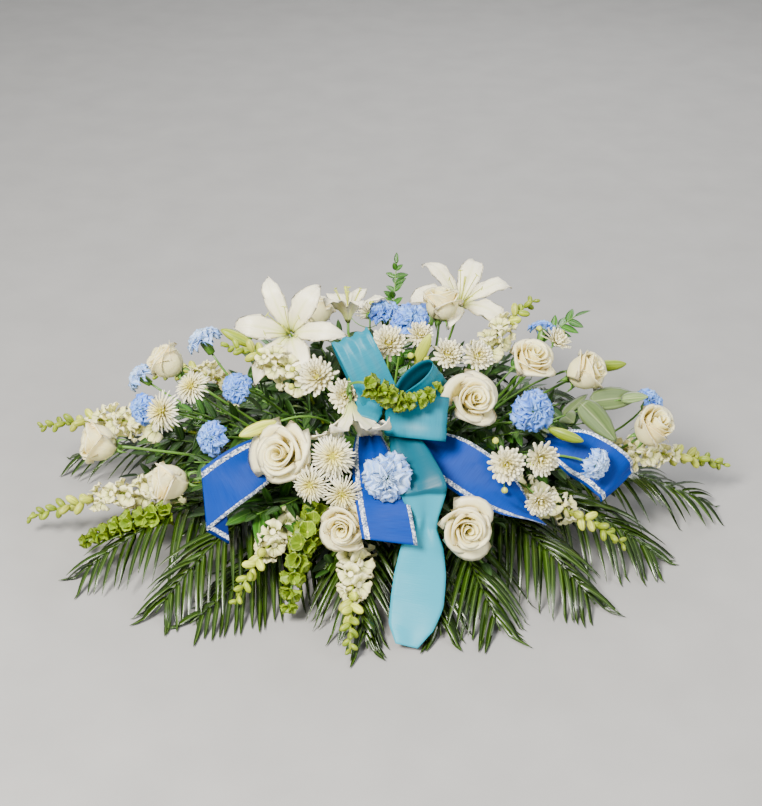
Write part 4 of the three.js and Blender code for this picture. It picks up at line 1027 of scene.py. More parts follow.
# %% Place the snapdragons
SNAPDRAGONS = {
    "snapdragon_upper_left": [(-590, 38, 101), (-380, -20, 190), 230],
    "snapdragon_lower_left": [(-583, -136, 34), (-400, -200, 150), 270],
    "snapdragon_left_hanging": [(-222, -355, 33), (-170, -300, 150), 190],
    "snapdragon_front": [(-45, -448, 16), (-50, -370, 110), 190],
    "snapdragon_far_right": [(590, -18, 60), (400, -130, 190), 260],
    "snapdragon_lower_right": [(380, -265, 75), (270, -260, 180), 220],
    "snapdragon_inner_left": [(-255, -60, 318), (-110, -100, 330), 150],
    "snapdragon_upper_right": [(265, 140, 295), (190, 60, 300), 150],
    "snapdragon_back": [(-420, 230, 90), (-280, 150, 190), 230],
}
for number, (name, spike) in enumerate(SNAPDRAGONS.items()):
    parts = snapdragon(*spike, np.random.default_rng(500 + number))
    make_piece(name + "_florets", parts, [name])

# %% [markdown]
# ## Bells of Ireland
#
# The green cups of this spike are not petals but papery bells with net veins and a wavy mouth, set in whorls
# with a bare piece of stem between them. A cup could be a shell, but it has to be closed all round, so it is
# a skin that goes up its outside, over the rim and down its inside. A tiny pale flower sits in it.

# %% The parts of bells of Ireland
CUPS_IN_WHORL = 6


def bell_cups(size, rng):
    """Double-walled cups (copies, 9 rows, 12 sides, 3): the profile climbs outside and comes back inside,
    and five waves round the mouth grow with the height."""
    rows = np.array([0.0, 0.08, 0.3, 0.62, 0.9, 1.0, 0.86, 0.5, 0.22])
    outer = np.array([0.06, 0.16, 0.3, 0.42, 0.58, 0.66, 0.53, 0.33, 0.08])
    angle = np.arange(12) * 2 * np.pi / 12
    phase = rng.random((len(size), 1, 1)) * 6.3
    wave = 1 + 0.1 * np.cos(5 * angle[None, None] + phase) * rows[None, :, None] ** 2
    radius = outer[None, :, None] * wave
    lift = rows[None, :, None] + 0.08 * np.sin(5 * angle[None, None] + phase) * rows[None, :, None] ** 3
    return turned_about(radius, angle[None, None], lift) * size[:, None, None, None]


def bells(path, flowering, largest, rng):
    """A spike with whorls of six cups along its last part, whose length is flowering. The lowest cups have
    the largest size, which is also the step between whorls, and each whorl is turned against the last."""
    length = along_path(path, [0])[2]
    whorls = max(5, round(flowering / largest))
    level = np.repeat(np.linspace(0, 1, whorls), CUPS_IN_WHORL)
    shares = mix(1 - flowering / length, 0.985, level) + rng.normal(0, 0.004, len(level))
    turns = np.tile(np.arange(CUPS_IN_WHORL) * 2 * np.pi / CUPS_IN_WHORL, whorls)
    turns = turns + level * 9.0 + rng.normal(0, 0.12, len(level))
    points, ways = spread_round(path, np.clip(shares, 0, 1), turns, 0.5)
    size = largest * mix(1.0, 0.55, level**1.6) * (1 + rng.normal(0, 0.07, len(level)))
    cups = keep_above(stand_each(bell_cups(size, rng), points, ways))
    seed = spindle([0.1, 0.18, 0.3, 0.38], [0.03, 0.1, 0.1, 0.03], 6)
    seeds = keep_above(stand_each(seed * size[:, None, None, None], points, ways))
    return [
        skin(rings_round(keep_above(path)[None], np.linspace(2.6, 1.6, len(path)), 6), STEM_GREEN),
        skin(cups, BELL_CUP, random_tones(rng, len(cups), 0.5)),
        skin(seeds, CREAM_BUD, random_tones(rng, len(seeds), 1.0)),
    ]


# %% [markdown]
# Two spikes hang out of the mound on the left, and a third rises behind the bow, bends over and lies across
# it. Each has the line of its stem, the length of its flowering part and the size of its largest cups.

# %% Place the bells of Ireland
def hanging_line(tip, control):
    """A stem from the foam to its tip, as one curve."""
    return bend(root_of(tip), control, tip, 24)


OVER_THE_BOW = [(6, -44, 62), (-14, -110, 170), (-44, -156, 262), (-50, -196, 322), (-28, -222, 346),
                (2, -232, 334), (30, -234, 318), (60, -228, 322), (90, -214, 336)]
BELLS = {
    "bells_left_hanging": [hanging_line((-140, -365, 30), (-125, -310, 180)), 180, 23],
    "bells_lower_left": [hanging_line((-480, -195, 30), (-380, -225, 110)), 150, 19],
    "bells_centre": [smooth_line(OVER_THE_BOW, 48), 124, 16],
}
for number, (name, spike) in enumerate(BELLS.items()):
    make_piece(name + "_whorls", bells(*spike, np.random.default_rng(600 + number)), [name])

# %% [markdown]
# ## Palm fronds and leaves
#
# Fronds of palm lie under the flowers and set the outline of the spray. A frond is an arching rib with
# narrow leaflets on both sides, which are folded along the middle and hang a little. A card cut out by a
# picture would have no fold to catch the light, so each leaflet is a small grid of its own. Broad and small
# leaves come from the same grid with another width, and all of the leaflets of a frond are one array.

# %% Leaf shapes
LEAF_ROWS = np.array([0.0, 0.1, 0.26, 0.45, 0.63, 0.8, 0.93, 1.0])
LEAF_THICKNESS = 0.5
TAIL_FORWARD = [300, 322, 345, 372, 402, 428]  # how far to the front the tail of the bow has come
TAIL_HEIGHT = [172, 138, 98, 48, 14, 8]
TAIL_HALF_WIDTH = 50
TAIL_GAP = 6


def tuck_under(points):
    """Leaves under the tail of the bow stay a little below it: no higher than the tail at that y."""
    x, y, z = points[..., 0], points[..., 1], points[..., 2]
    tail = np.interp(-y, TAIL_FORWARD, TAIL_HEIGHT) - TAIL_GAP
    beside = np.abs(x - np.interp(-y, [300, 345, 428], [72, 60, 42]))  # from the tail's middle line
    under = (beside < TAIL_HALF_WIDTH) & (y < -TAIL_FORWARD[0])
    points[..., 2] = np.where(under, np.minimum(z, np.maximum(tail, LOWEST)), z)
    return points


def leaves(base, way, across, length, width, droop, look, tone, fold, columns, slim=False):
    """Leaves (copies, 8 rows, columns, 3). Middle line: base + way x length x s, falling by droop x s^2.
    Half width: a profile that is widest at a third of the length, or half way up a slim leaf. The edges
    stand above the middle by fold."""
    s = LEAF_ROWS
    c = np.linspace(-1, 1, columns)
    profile = np.interp(s, [0, 0.12, 0.35, 0.7, 0.93, 1], [0.3, 0.8, 1, 0.75, 0.25, 0.04])
    if slim:
        profile = np.interp(s, [0, 0.1, 0.5, 0.85, 1], [0.5, 0.95, 1, 0.55, 0.06])
    length, width, droop = (np.broadcast_to(np.asarray(size, float), len(base))[:, None, None]
                            for size in (length, width, droop))
    middle = base[:, None] + way[:, None] * length * s[None, :, None]
    middle[..., 2] -= droop[:, 0] * s[None] ** 2
    flow = unit(np.gradient(middle, axis=1))
    over = unit(across[:, None] - (across[:, None] * flow).sum(-1, keepdims=True) * flow)
    up = np.cross(flow, over)
    up = up * np.where(up[..., 2:] < 0, -1, 1)
    half = (width / 2) * profile[None, :, None]
    points = middle[:, :, None] + over[:, :, None] * half[..., None] * c[None, None, :, None]
    points = points + up[:, :, None] * (half * fold * 2)[..., None] * (np.abs(c)[None, None, :, None] - 0.5)
    order = slice(None) if np.mean(np.cross(flow, over)[..., 2]) < 0 else slice(None, None, -1)
    return shell(keep_above(tuck_under(points))[:, :, order], LEAF_THICKNESS, look, tone)


# %% Fronds and branches
UPRIGHT = np.array([0, 0, 1.0])
LEAFLETS = 34  # 17 pairs on a frond
FRONT_EDGE = -100.0  # fronds whose tips lie in front of this are front fronds
TO_THE_FRONT = np.array([0, -0.65, 0])


def frond(tip, control, leaflet, rng):
    """A rib from the foam to the tip, with pairs of leaflets that shorten towards the end. A leaflet points
    to its side of the rib, along it and up, and those of the front fronds fall a little to the front."""
    path = bend(root_of(tip), control, tip, 24)
    level = np.repeat(np.linspace(0, 1, LEAFLETS // 2), 2)
    shares = mix(0.3, 0.93, level) + rng.normal(0, 0.004, LEAFLETS)
    points, axis, _ = along_path(path, shares)
    side, _ = square(axis)
    hand = np.tile([-1.0, 1.0], LEAFLETS // 2)[:, None]
    lift = UPRIGHT * rng.normal(0.3, 0.13, (LEAFLETS, 1))
    fall = TO_THE_FRONT * (tip[1] < FRONT_EDGE)
    way = side * hand + axis * (0.75 + 0.75 * level[:, None]) + lift + fall
    way = unit(way + rng.normal(0, 0.08, (LEAFLETS, 3)))
    length = leaflet * (1.5 - 0.95 * level) * (1 + rng.normal(0, 0.08, LEAFLETS))
    across = np.cross(way, UPRIGHT) * hand
    across = unit(unit(across) + rng.normal(0, 0.25, (LEAFLETS, 3)))
    droop = length * rng.uniform(0.35, 0.7, LEAFLETS)
    tone = random_tones(rng, LEAFLETS)
    width = rng.uniform(7.5, 10.0, LEAFLETS)
    return [
        skin(rings_round(keep_above(path)[None], np.linspace(2.6, 1.3, 24), 6), PALM_LEAF),
        leaves(points, way, across, length, width, droop, PALM_LEAF, tone, fold=0.3, columns=3, slim=True),
    ]


def leafy_branch(tip, length, width, look, rng, pairs=5, start=None, bare=0.62):
    """A stem with broad leaves in pairs along its last part, and one at its tip. bare is the share of the
    stem below the first pair."""
    tip = np.asarray(tip, float)
    path = bend(root_of(tip) if start is None else start, tip * (0.7, 0.7, 0.8), tip, 16)
    count = 2 * pairs + 1
    level = np.minimum(np.repeat(np.linspace(0, 1, pairs + 1), 2)[:count], 1)
    points, axis, _ = along_path(path, mix(bare, 1.0, level))
    side, rise = square(axis)
    hand = np.tile([-1.0, 1.0], pairs + 1)[:count, None]
    hand[-1] = 0
    twist = rng.normal(0, 0.6, (count, 1))
    way = (side * np.cos(twist) + rise * np.sin(twist)) * hand + axis * 0.7
    way = unit(way + rng.normal(0, 0.12, (count, 3)))
    across = unit(np.cross(way, rise + rng.normal(0, 0.3, (count, 3))))
    size = length * mix(1.0, 0.75, level) * (1 + rng.normal(0, 0.07, count))
    tone = random_tones(rng, count)
    return [
        skin(rings_round(keep_above(path)[None], np.linspace(2.0, 1.0, 16), 6), STEM_GREEN),
        leaves(points, way, across, size, width * size / length, size * 0.1, look, tone,
               fold=0.18, columns=5),
    ]


# %% [markdown]
# Inside the mound short sprigs of dark leaves fill the space between the flower stems, as they do in a real
# spray, where the florist hides the foam with them before the first bloom goes in. They are spread over the
# mound by the golden turn, so that they are even but never in rows.

# %% Filler sprigs
MOUND = np.array([545.0, 365.0, 305.0])
GOLDEN_SHARE = 0.618
SPRIGS = 40  # in each quarter of the mound


def filler_sprigs(first, last, rng):
    """Sprigs from the foam to a mound of the spray's own form, in the sector from one angle to the next. A
    tip lies at direction x mound x a random share of about three quarters."""
    parts = []
    turn_share = (np.arange(SPRIGS) * GOLDEN_SHARE) % 1
    high = (np.arange(SPRIGS) + 0.5) / SPRIGS
    for share, level in zip(turn_share, high):
        angle = math.radians(mix(first, last, share))
        rise = 0.1 + 0.88 * level
        flat = math.sqrt(1 - rise**2)
        direction = np.array([flat * math.cos(angle), flat * math.sin(angle), rise])
        direction = direction + rng.normal(0, 0.08, 3)
        tip = direction * MOUND * rng.uniform(0.66, 0.8) + (0, 0, 12)
        leaf = rng.uniform(38, 56)
        start = root_of(tip) + (0, 0, 30)
        parts += leafy_branch(tip, leaf, leaf * 0.42, FILLER_LEAF, rng, start=start)
    return parts


# %% [markdown]
# Each quarter of the spray has three or four fronds, with their tip, the control point of the rib and the
# length of a leaflet, and a few leafy branches, with their tip, the length and width of a leaf and its
# finish. The filler sprigs of a quarter lie between two angles, in degrees.

# %% Place the greens
FRONDS = {
    "greens_left": [[(-480, -260, 14), (-300, -150, 120), 110], [(-344, -352, 13), (-230, -200, 120), 112],
                    [(-550, 60, 22), (-330, 40, 120), 95]],
    "greens_front": [[(90, -400, 10), (80, -250, 110), 110], [(-20, -430, 10), (-60, -260, 110), 105],
                     [(-290, -370, 8), (-120, -200, 60), 115]],
    "greens_right": [[(180, -390, 10), (110, -230, 120), 120], [(330, -330, 12), (210, -200, 120), 115],
                     [(450, -220, 14), (300, -150, 120), 110], [(560, -80, 20), (350, -40, 120), 95]],
    "greens_back": [[(-350, 300, 12), (-220, 170, 120), 105], [(0, 340, 12), (0, 200, 120), 105],
                    [(350, 300, 12), (220, 170, 120), 105]],
}
LEAFY = {
    "greens_left": [[(-330, -60, 200), 50, 20, BROAD_LEAF], [(-200, -235, 120), 90, 34, BROAD_LEAF]],
    "greens_front": [[(-90, -200, 190), 50, 22, BROAD_LEAF]],
    "greens_right": [[(330, -130, 160), 50, 22, BROAD_LEAF], [(230, -120, 200), 45, 20, BROAD_LEAF]],
    "greens_back": [[(-190, 110, 220), 50, 22, BROAD_LEAF], [(40, 160, 230), 45, 20, BROAD_LEAF]],
}
FILLED = {
    "greens_left": (135, 235),
    "greens_front": (235, 300),
    "greens_right": (300, 405),
    "greens_back": (45, 135),
}
for number, name in enumerate(FRONDS):
    rng = np.random.default_rng(700 + number)
    parts = [p for branch in FRONDS[name] for p in frond(*branch, rng)]
    parts += [p for branch in LEAFY[name] for p in leafy_branch(*branch, rng)]
    parts += filler_sprigs(*FILLED[name], rng)
    make_piece(name + "_fronds", parts, [name])

# %% [markdown]
# A sprig of ruscus stands up at the top. At the right a sprig with dark leaves leans out, over a branch of
# broad pale ones. The two largest pale leaves are listed one by one: each has its base, the way it points,
# the direction across it and its length, and they share their width and how far they droop.

# %% The sprig at the top and the leaves at the right
rng = np.random.default_rng(800)
ruscus = leafy_branch((27, 180, 346), 25, 13, BROAD_LEAF, rng, pairs=8, bare=0.7)
make_piece("ruscus_top_leaves", ruscus, ["ruscus_top"])
pale = leafy_branch((388, -74, 226), 66, 34, SAGE_LEAF, rng, pairs=3, bare=0.55)
big_base = np.array([[318.0, -100, 235], [337, -80, 225]])
big_way = unit(np.array([[60.0, -25, -48], [85, 20, 7]]))
big_across = np.array([[0.7, 0.4, 0.6], [0.1, 0.7, 0.6]])
big_length = np.array([80.0, 86])
pale.append(leaves(big_base, big_way, big_across, big_length, 42, 10, SAGE_LEAF, random_tones(rng, 2),
                   fold=0.14, columns=7))
dark = leafy_branch((328, 84, 294), 40, 19, BROAD_LEAF, rng, pairs=9, bare=0.6)
make_piece("leaves_right_blades", pale + dark, ["leaves_right"])

# %% [markdown]
# ## Satin ribbon
#
# Satin is woven so that the threads of one direction float on top, which makes it shine in long soft lights
# across the ribbon. In the material this is an anisotropic highlight over very fine ribs that follow the UV
# map. Its back is dull, and its colour there is painted darker as shade. Where the tail hangs free, the
# colour is painted paler, as light that comes through.
# The wide ribbons have a band of silver glitter just inside each edge: small cells, each a grain with its own
# brightness, placed by the V direction of the UV map.

# %% Satin finishes
THROUGH_LIGHT = (1.5, 0.02)  # the bright tone is multiplied and lifted by these where light comes through
DULL_SIDE_SHADE = 0.6  # the deep tone is multiplied by this on the dull side: painted shade
GRAINS = 520.0  # cells of glitter in a metre
GRAIN_METAL = 0.45


def satin_finish(name, deep, bright, ribs, gloss, roughness, band=None):
    """Satin in a deep and a bright tone of one colour, mixed by ribs across the length. The second tone of
    the mesh mixes in the light that comes through as a paler colour, and the third the dull side, where the
    deep tone is painted darker as shade. gloss is the strength of the highlight. A band of glitter has the
    place of its middle and half its width, as shares of the ribbon's width from its middle line."""
    tree, shader = new_finish(name, roughness=roughness)
    shader.inputs["Anisotropic"].default_value = 0.6
    shader.inputs["Specular IOR Level"].default_value = gloss
    along, across, tones = surface_maps(tree)
    rib = add(tree, "CombineXYZ", [(0, calculate(tree, "MULTIPLY", along, ribs)),
                                   (1, calculate(tree, "MULTIPLY", across, 3.0))]).outputs[0]
    weave = add(tree, "TexNoise", [("Vector", rib), ("Scale", 1.0), ("Detail", 2.0)]).outputs[0]
    colour = blend_colours(tree, weave, (*deep, 1), (*bright, 1))
    pale = [value * THROUGH_LIGHT[0] + THROUGH_LIGHT[1] for value in bright]
    colour = blend_colours(tree, tones[1], colour, (*pale, 1))
    # Painted shade: on the dull side the deep tone is made darker.
    colour = blend_colours(tree, tones[2], colour, (*[value * DULL_SIDE_SHADE for value in deep], 1))
    crease = streaks(tree, along, across, tones[0], (16.0, 1.2), 0.0)
    raise_bump(tree, shader, calculate(tree, "MULTIPLY_ADD", crease, 2.5, weave), 0.0003)
    if band:
        near = calculate(tree, "COMPARE", from_middle(tree, across), *band)
        place = add(tree, "TexCoord").outputs["Object"]
        grain = add(tree, "TexVoronoi", [("Vector", place), ("Scale", GRAINS)]).outputs["Color"]
        spark = add(tree, "SeparateXYZ", [(0, grain)]).outputs[0]
        silver = colour_ramp(tree, spark, [(0.0, (0.03, 0.06, 0.14)), (0.4, (0.22, 0.27, 0.36)),
                                           (0.75, (0.6, 0.65, 0.74)), (1.0, (1.0, 1.0, 1.0))])
        colour = blend_colours(tree, near, colour, silver)
        metal = calculate(tree, "MULTIPLY", near, GRAIN_METAL)
        tree.links.new(metal, shader.inputs["Metallic"])
    tree.links.new(colour, shader.inputs["Base Color"])
    return name


TURQUOISE = satin_finish(
    "turquoise_satin", (0.0, 0.13, 0.2), (0.004, 0.2, 0.28), ribs=160.0, gloss=0.26, roughness=0.45,
)
ROYAL = satin_finish(
    "royal_blue_satin", (0.0, 0.018, 0.17), (0.0, 0.042, 0.29), ribs=220.0, gloss=0.12, roughness=0.55,
    band=(0.405, 0.042),
)
print("Satin finishes:", TURQUOISE, "and", ROYAL)

# %% [markdown]
# ## Bow and ribbons
#
# A ribbon is a line of stations, each with a point, the direction across the ribbon and how much of its
# width is open. Where it is gathered, under the knot or at its pick, the spare width has to go somewhere, so
# it lies in pleats. The pleats are a sine across the ribbon that is deeper the narrower the ribbon is there.
# A cloth simulation would fold by itself, but it falls a little differently each time and can't be told to
# lie as the florist laid it, so the shape is worked out.

# %% Ribbon shapes
RIBBON_WIDTH = 80.0
HALF_THICKNESS = 0.2
COLUMNS = 13
LEAST_SHARE = 0.08  # a ribbon is never gathered further than this share of its width
ALL_DULL_SHADED = (0.0, 1.1)  # dull, painted darker as shade, from before the first row to past the last


def ribbon(stops, steps, look, pleats, depth, ripple, seed, notch=0.0, crown=0.0, open_end=1.0, crisp=0.0,
           dull_shaded=(0.0, 0.0), under=0.0, lit=0.0):
    """Stations become a smooth strip: centre + width x share x (column - 1/2) across + pleats along the
    normal, whose depth is (1 - share) of the width and fades out at an open end. A slow ripple and a crown
    keep it from being flat, and a notch moves one edge of the end forward and the other back. The line is a
    share crisp of the way from the smooth spline to straight runs between the stations. The dull side of
    the satin, whose colour is painted darker as shade, is behind, and in front between two shares of the
    length. A length of under lies folded back behind the last row: the way the ribbon ran, mirrored in the
    fold. Past the dull part in front, a share lit of the light comes through, painted as a paler colour."""
    rows = np.array([[*point, *unit(across), share] for point, across, share in stops], float)
    at = np.linspace(0, len(rows) - 1, steps)
    straight = np.stack([np.interp(at, np.arange(len(rows)), column) for column in rows.T], -1)
    line = mix(smooth_line(rows, steps), straight, crisp)
    centre, across, share = line[:, :3], unit(line[:, 3:6]), np.clip(line[:, 6:7], LEAST_SHARE, 1)
    flow = unit(np.gradient(centre, axis=0))
    across = unit(across - (across * flow).sum(-1, keepdims=True) * flow)
    normal = np.cross(flow, across)
    c = np.linspace(0, 1, COLUMNS)[None, :]
    s = np.linspace(0, 1, steps)[:, None]
    phase = np.random.default_rng(seed).random(3) * 6.3
    fold = RIBBON_WIDTH * depth * (1 - share) * np.sin(2 * np.pi * pleats * c + phase[0])
    fold = fold * (1 - s**8 * open_end)
    wave = ripple * np.sin(5 * s + 4 * c + phase[1]) + 0.5 * ripple * np.sin(11 * s - 6 * c + phase[2])
    bow_up = crown * (1 - (2 * c - 1) ** 2)
    lift = (fold + wave + bow_up)[..., None]
    ends = (notch * (c - 0.5) * np.clip((s - 0.5) / 0.5, 0, 1))[..., None]
    face = centre[:, None] + across[:, None] * (RIBBON_WIDTH * share * (c - 0.5))[..., None]
    face = face + normal[:, None] * lift + flow[:, None] * ends
    if under:
        fold_line = unit(face[-1, -1] - face[-1, 0])
        mirrored = 2 * np.dot(flow[-1], fold_line) * fold_line - flow[-1]
        back = np.linspace(0, 1, 9)[1:, None, None]
        face = np.concatenate([face, face[-1] + mirrored * under * back + normal[-1] * 4 * back**0.3])
        s = np.concatenate([s, np.ones((8, 1))])
    face[..., 2] = np.maximum(face[..., 2], LOWEST)
    turned_normal = unit(np.cross(np.gradient(face, axis=0), np.gradient(face, axis=1)))
    half = HALF_THICKNESS * turned_normal
    strip = skin(np.concatenate([face + half, (face - half)[:, ::-1]], axis=1)[None], look)
    # Painted shade: the rows that show the dull side in front are marked to be painted darker.
    dull_shade_front = ((s >= dull_shaded[0]) & (s < dull_shaded[1])) * np.ones(COLUMNS)
    through = lit * np.clip((s - dull_shaded[1]) / 0.02, 0, 1) * np.ones(2 * COLUMNS)
    strip["tone"] = np.array(strip["tone"])
    strip["tone"][:, 1] = through.ravel()
    strip["tone"][:, 2] = np.concatenate([dull_shade_front, 1 - dull_shade_front], axis=1).ravel()
    return strip, face


def cloth_size(face):
    """The length of the middle line, and the area of the strip, in metres."""
    middle = face[:, face.shape[1] // 2] * MM
    length = np.linalg.norm(np.diff(middle, axis=0), axis=1).sum()
    a, b = np.diff(face[:, :-1], axis=0) * MM, np.diff(face[:-1], axis=1) * MM
    return length, np.linalg.norm(np.cross(a, b), axis=-1).sum()


def make_ribbon(name, strip, face, nodes):
    """A piece of ribbon, with its length and its share of the flat area printed."""
    piece = make_piece(name, [strip], nodes)
    length, area = cloth_size(face)
    print(f"{name}: {length:.3f} m of ribbon, {area / (length * RIBBON_WIDTH * MM):.2f} of its flat area")
    return piece


# %% [markdown]
# The bow has four loops and one tail, all from the same knot. A loop is a teardrop: its stations go out from
# the knot and come back to it. Each loop has its start beside the knot, the way it goes, the direction across
# it, its length, how far it swells, the open share of its width at the knot and at its fullest, and the depth
# of its pleats. The loops show the dull side of the satin, and so does the upper part of the tail, and there
# the colour is painted darker as shade.

# %% The bow
KNOT = np.array([28.0, -178.0, 272.0])
LOOP_STATIONS = 15
LOOPS = {
    "bow_loop_left": [(-24, 0, 2), (-0.42, 0.3, 0.85), (0.9, 0.3, 0.3), 124, 26, 0.35, 0.74, 0.13],
    "bow_loop_right": [(2, 4, 4), (0.72, 0.3, 0.52), (-0.35, -0.4, 0.8), 80, 18, 0.34, 0.88, 0.08],
    "bow_loop_front": [(-22, -12, 0), (0.95, -0.24, 0.04), (0, 0.55, 0.83), 98, 25, 0.66, 0.84, 0.03],
    "bow_loop_small": [(-24, -10, 8), (-0.95, 0.2, 0.12), (0.05, 0.9, 0.35), 46, 10, 0.55, 0.76, 0.05],
}
TAIL = [
    [(28, -184, 262), (1, 0.05, 0.1), 0.4], [(34, -216, 246), (1, 0.05, 0.1), 0.55],
    [(45, -250, 231), (1, 0.08, 0.12), 0.76], [(58, -290, 216), (0.98, 0.1, 0.22), 0.88],
    [(63, -303, 208), (0.98, 0.1, 0.2), 0.88], [(64, -304, 192), (0.98, 0.08, 0.12), 0.78],
    [(66, -308, 160), (1, 0.02, 0.02), 0.5], [(64, -314, 144), (1, 0.3, 0.0), 0.52],
    [(62, -330, 122), (1, 0.1, -0.03), 0.8], [(59, -352, 88), (1, 0, -0.08), 0.97],
    [(54, -378, 56), (1, 0.04, 0.02), 1], [(44, -404, 30), (1, 0.03, 0.06), 0.84],
    [(38, -426, 12), (1, 0, -0.07), 0.42],
]


def loop_stations(offset, direction, across, length, height, gathered, full):
    """A teardrop from the knot and back. Reach: length x (1 - cos 2 pi s) / 2. Swell: height x sin 2 pi s x
    the square root of sin pi s. The share of the width grows from gathered, at the knot, to full."""
    out = unit(direction)
    side = unit(np.asarray(across) - np.dot(across, out) * out)
    up = np.cross(out, side)
    stops = []
    for s in np.linspace(0, 1, LOOP_STATIONS):
        swell = height * math.sin(2 * math.pi * s) * math.sqrt(max(math.sin(math.pi * s), 0))
        reach = length * (1 - math.cos(2 * math.pi * s)) / 2
        share = min(full, gathered + 1.1 * math.sin(math.pi * s))
        stops.append([KNOT + offset + out * reach + up * (mix(-1.5, 1.5, s) - swell), side, share])
    return stops


# The loops show the dull side of the satin, painted darker as shade.
for number, (name, (*loop, depth)) in enumerate(LOOPS.items()):
    strip, face = ribbon(loop_stations(*loop), 49, TURQUOISE, pleats=3, depth=depth, ripple=0.5, seed=number,
                         crown=0.8, open_end=0.0, crisp=0.3, dull_shaded=ALL_DULL_SHADED)
    make_ribbon(name, strip, face, ["bow"])

# The upper part of the tail shows the dull side in front, painted darker as shade; below it the colour is
# painted paler, as light that comes through.
strip, face = ribbon(TAIL, 111, TURQUOISE, pleats=1.5, depth=0.1, ripple=0.8, seed=9, crisp=0.75,
                     dull_shaded=(0.0, 0.38), lit=0.75)
make_ribbon("bow_tail", strip, face, ["bow"])

# %% [markdown]
# The knot is a short wrap of the same satin that covers the ends of the loops. It could be a fifth ribbon,
# but it goes round on itself, so it is a closed skin.

# %% The knot of the bow
def knot_wrap():
    """A short turn of ribbon round the middle of the bow: rings at 11 v, whose radius is 15 less 4.5 v^2,
    with pleats 1.1 deep that run along the wrap."""
    angle = np.linspace(0, 2 * np.pi, 25)[:-1]
    v = np.linspace(-1, 1, 13)
    profile = 15 - 4.5 * v**2 + 1.1 * np.cos(v * 11)
    x = 11 * v[:, None] + 0 * angle
    ring = np.stack([x, profile[:, None] * np.cos(angle), profile[:, None] * np.sin(angle)], -1)
    return skin((ring + KNOT + (0, 2, 0))[None], TURQUOISE, (0.5, 0, 0))


make_piece("bow_knot", [knot_wrap()], ["bow"])

# %% [markdown]
# Four wide ribbons with glitter edges come out of the mound, each on a pick in the foam, and lie over the
# flowers. The one at the left ends in a slanting fold and turns under, with its dull side to the front, where
# its colour is painted darker as shade, and one at the front is cut at a slant. Each station is a point, a
# direction across, and an open share.

# %% The wide ribbons
BANNERS = {
    "banner_left": [[
        [(-142, -165, 196), (-0.56, 0.43, 0.71), 0.35], [(-180, -214, 206), (-0.56, 0.43, 0.71), 0.85],
        [(-222, -243, 192), (-0.56, 0.43, 0.71), 1], [(-249, -255, 176), (-0.56, 0.43, 0.71), 1],
        [(-271, -262, 160), (-0.56, 0.43, 0.71), 1],
    ]],
    "banner_front": [
        [[(-20, -168, 222), (1, 0, 0), 0.5], [(-15, -212, 219), (1, 0, 0), 0.72],
         [(-7, -262, 206), (1, 0, 0), 0.9], [(4, -312, 180), (1, 0, 0), 1],
         [(13, -346, 144), (1, 0, -0.1), 1]],
        [[(52, -150, 205), (0.6, 0.46, 0.53), 0.3], [(98, -205, 206), (0.6, 0.46, 0.53), 0.9],
         [(145, -238, 190), (0.55, 0.55, 0.5), 1], [(195, -266, 166), (0.35, 0.75, 0.15), 0.9],
         [(250, -290, 134), (0, 0.8, -0.6), 0.5]],
    ],
    "banner_far_right": [[
        [(262, -130, 182), (0, 0.5, 0.85), 0.35], [(308, -160, 181), (0, 0.5, 0.85), 0.95],
        [(344, -181, 171), (0.1, 0.5, 0.85), 1], [(366, -192, 155), (0.35, 0.45, 0.7), 1],
        [(374, -191, 136), (0.55, 0.5, 0.4), 1],
    ]],
}
ENDS = {
    # The left ribbon shows its dull side in front, painted darker as shade.
    "banner_left_ribbon": {"notch": -54.0, "dull_shaded": ALL_DULL_SHADED, "under": 40.0},
    "banner_front_ribbon_1": {"notch": 24.0},
}
for number, (name, strips) in enumerate(BANNERS.items()):
    for part_number, stops in enumerate(strips):
        label = f"{name}_ribbon" if len(strips) == 1 else f"{name}_ribbon_{part_number + 1}"
        strip, face = ribbon(stops, 57, ROYAL, pleats=3, depth=0.12, ripple=1.2,
                             seed=20 + number + part_number, **ENDS.get(label, {}))
        make_ribbon(label, strip, face, [name])

# %% [markdown]
# ## The holder
#
# The tray, the cage and the foam are the loaded solids themselves, because their shape is already right and
# the flowers hide them. Only their materials change: moulded plastic with a faint grain, and wet foam with
# fine open pores. Both patterns use object coordinates, as these meshes have no UV map.

# %% Holder and foam finishes
def solid_finish(name, dark, light, scale, relief, roughness, pores=False):
    """Two tones by a noise in space, with pores by small cells where asked."""
    tree, shader = new_finish(name, roughness=roughness)
    place = add(tree, "TexCoord").outputs["Object"]
    noise = add(tree, "TexNoise", [("Vector", place), ("Scale", scale), ("Detail", 6.0)]).outputs[0]
    colour = colour_ramp(tree, noise, [(0.3, dark), (0.7, light)])
    height = noise
    if pores:
        cells = add(tree, "TexVoronoi", [("Vector", place), ("Scale", scale * 4)]).outputs["Distance"]
        height = calculate(tree, "MULTIPLY", cells, noise)
        colour = blend_colours(tree, cells, colour, (*[value * 0.5 for value in dark], 1))
    tree.links.new(colour, shader.inputs["Base Color"])
    raise_bump(tree, shader, height, relief)
    return name


PLASTIC = solid_finish(
    "green_plastic", (0.015, 0.09, 0.03), (0.025, 0.13, 0.045), scale=260.0, relief=0.0002, roughness=0.38,
)
FOAM = solid_finish(
    "wet_floral_foam", (0.02, 0.09, 0.04), (0.05, 0.17, 0.08), scale=180.0, relief=0.001, roughness=0.85,
    pores=True,
)
for node_name, look in {"holder_tray": PLASTIC, "holder_cage": PLASTIC, "foam_block": FOAM}.items():
    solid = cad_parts[node_name]
    solid.data.materials.clear()
    solid.data.materials.append(MATERIALS[look])
    print(node_name, "wears", look)

# %% [markdown]
# ## Floor, light and camera
#
# The spray stands on a plain pale floor under a large warm light from the front left, a weaker one from the
# right and one from behind, with a pale sky round it. White flowers need such soft light, or their petals
# merge. The camera stands two metres in front and looks down by a third of a right angle.

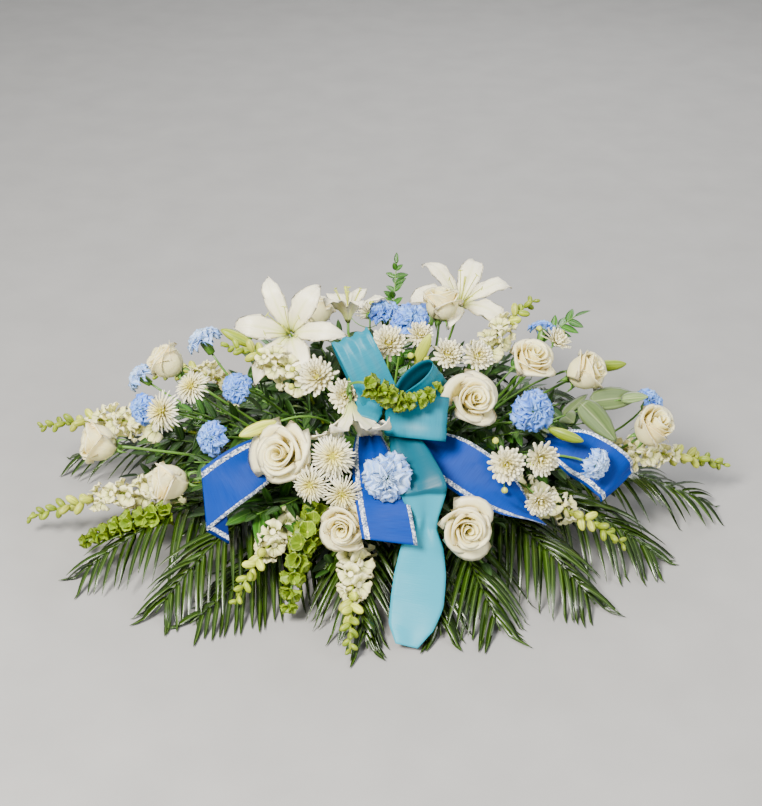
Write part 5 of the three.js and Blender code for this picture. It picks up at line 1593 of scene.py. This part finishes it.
# %% Floor
def floor_plane(size):
    """A square on the ground with a soft plaster finish, which reaches so many metres each way."""
    mesh = bpy.data.meshes.new("floor")
    corners = [(-size, -size, 0), (size, -size, 0), (size, size, 0), (-size, size, 0)]
    mesh.from_pydata(corners, [], [(0, 1, 2, 3)])
    plane = bpy.data.objects.new("floor", mesh)
    bpy.context.scene.collection.objects.link(plane)
    tree, shader = new_finish("floor_plaster", roughness=0.85)
    place = add(tree, "TexCoord").outputs["Object"]
    noise = add(tree, "TexNoise", [("Vector", place), ("Scale", 9.0), ("Detail", 5.0)]).outputs[0]
    colour = colour_ramp(tree, noise, [(0.2, (0.28, 0.277, 0.272)), (0.8, (0.32, 0.316, 0.31))])
    tree.links.new(colour, shader.inputs["Base Color"])
    mesh.materials.append(MATERIALS["floor_plaster"])


floor_plane(30.0)

# %% Lights
def soft_light(name, place, aim, size, power, colour=(1, 1, 1)):
    """A square area light at a place, turned to a point."""
    light = bpy.data.lights.new(name, "AREA")
    light.size = size
    light.energy = power
    light.color = colour
    lamp = bpy.data.objects.new(name, light)
    bpy.context.scene.collection.objects.link(lamp)
    lamp.location = place
    lamp.rotation_euler = (Vector(aim) - Vector(place)).to_track_quat("-Z", "Y").to_euler()


soft_light("window_light", (-1.3, -2.0, 2.7), (0, -0.05, 0.15), 1.0, 365, (1.0, 0.96, 0.89))
soft_light("fill_light", (2.4, -1.6, 1.8), (0, 0, 0.15), 1.6, 75, (0.99, 0.99, 1.0))
soft_light("back_light", (0.6, 2.4, 2.2), (0, 0, 0.2), 1.6, 60)
world = bpy.data.worlds.new("pale_room")
world.use_nodes = True
sky = world.node_tree.nodes["Background"]
sky.inputs["Color"].default_value = (0.9, 0.92, 0.95, 1)
sky.inputs["Strength"].default_value = 0.55
bpy.context.scene.world = world
print("Lights:", len(bpy.data.lights), "and a pale sky")

# %% Camera
LENS = 63.96
EYE = (0, -2.048, 1.434)
LOOK_DOWN = 31.61
camera = bpy.data.cameras.new("camera")
camera.sensor_fit = "VERTICAL"
camera.sensor_height = 36
camera.lens = LENS
eye = bpy.data.objects.new("camera", camera)
bpy.context.scene.collection.objects.link(eye)
eye.location = EYE
eye.rotation_euler = (math.radians(90 - LOOK_DOWN), 0, 0)
bpy.context.scene.camera = eye
print("The camera stands at", EYE, "and looks down by", LOOK_DOWN, "degrees")
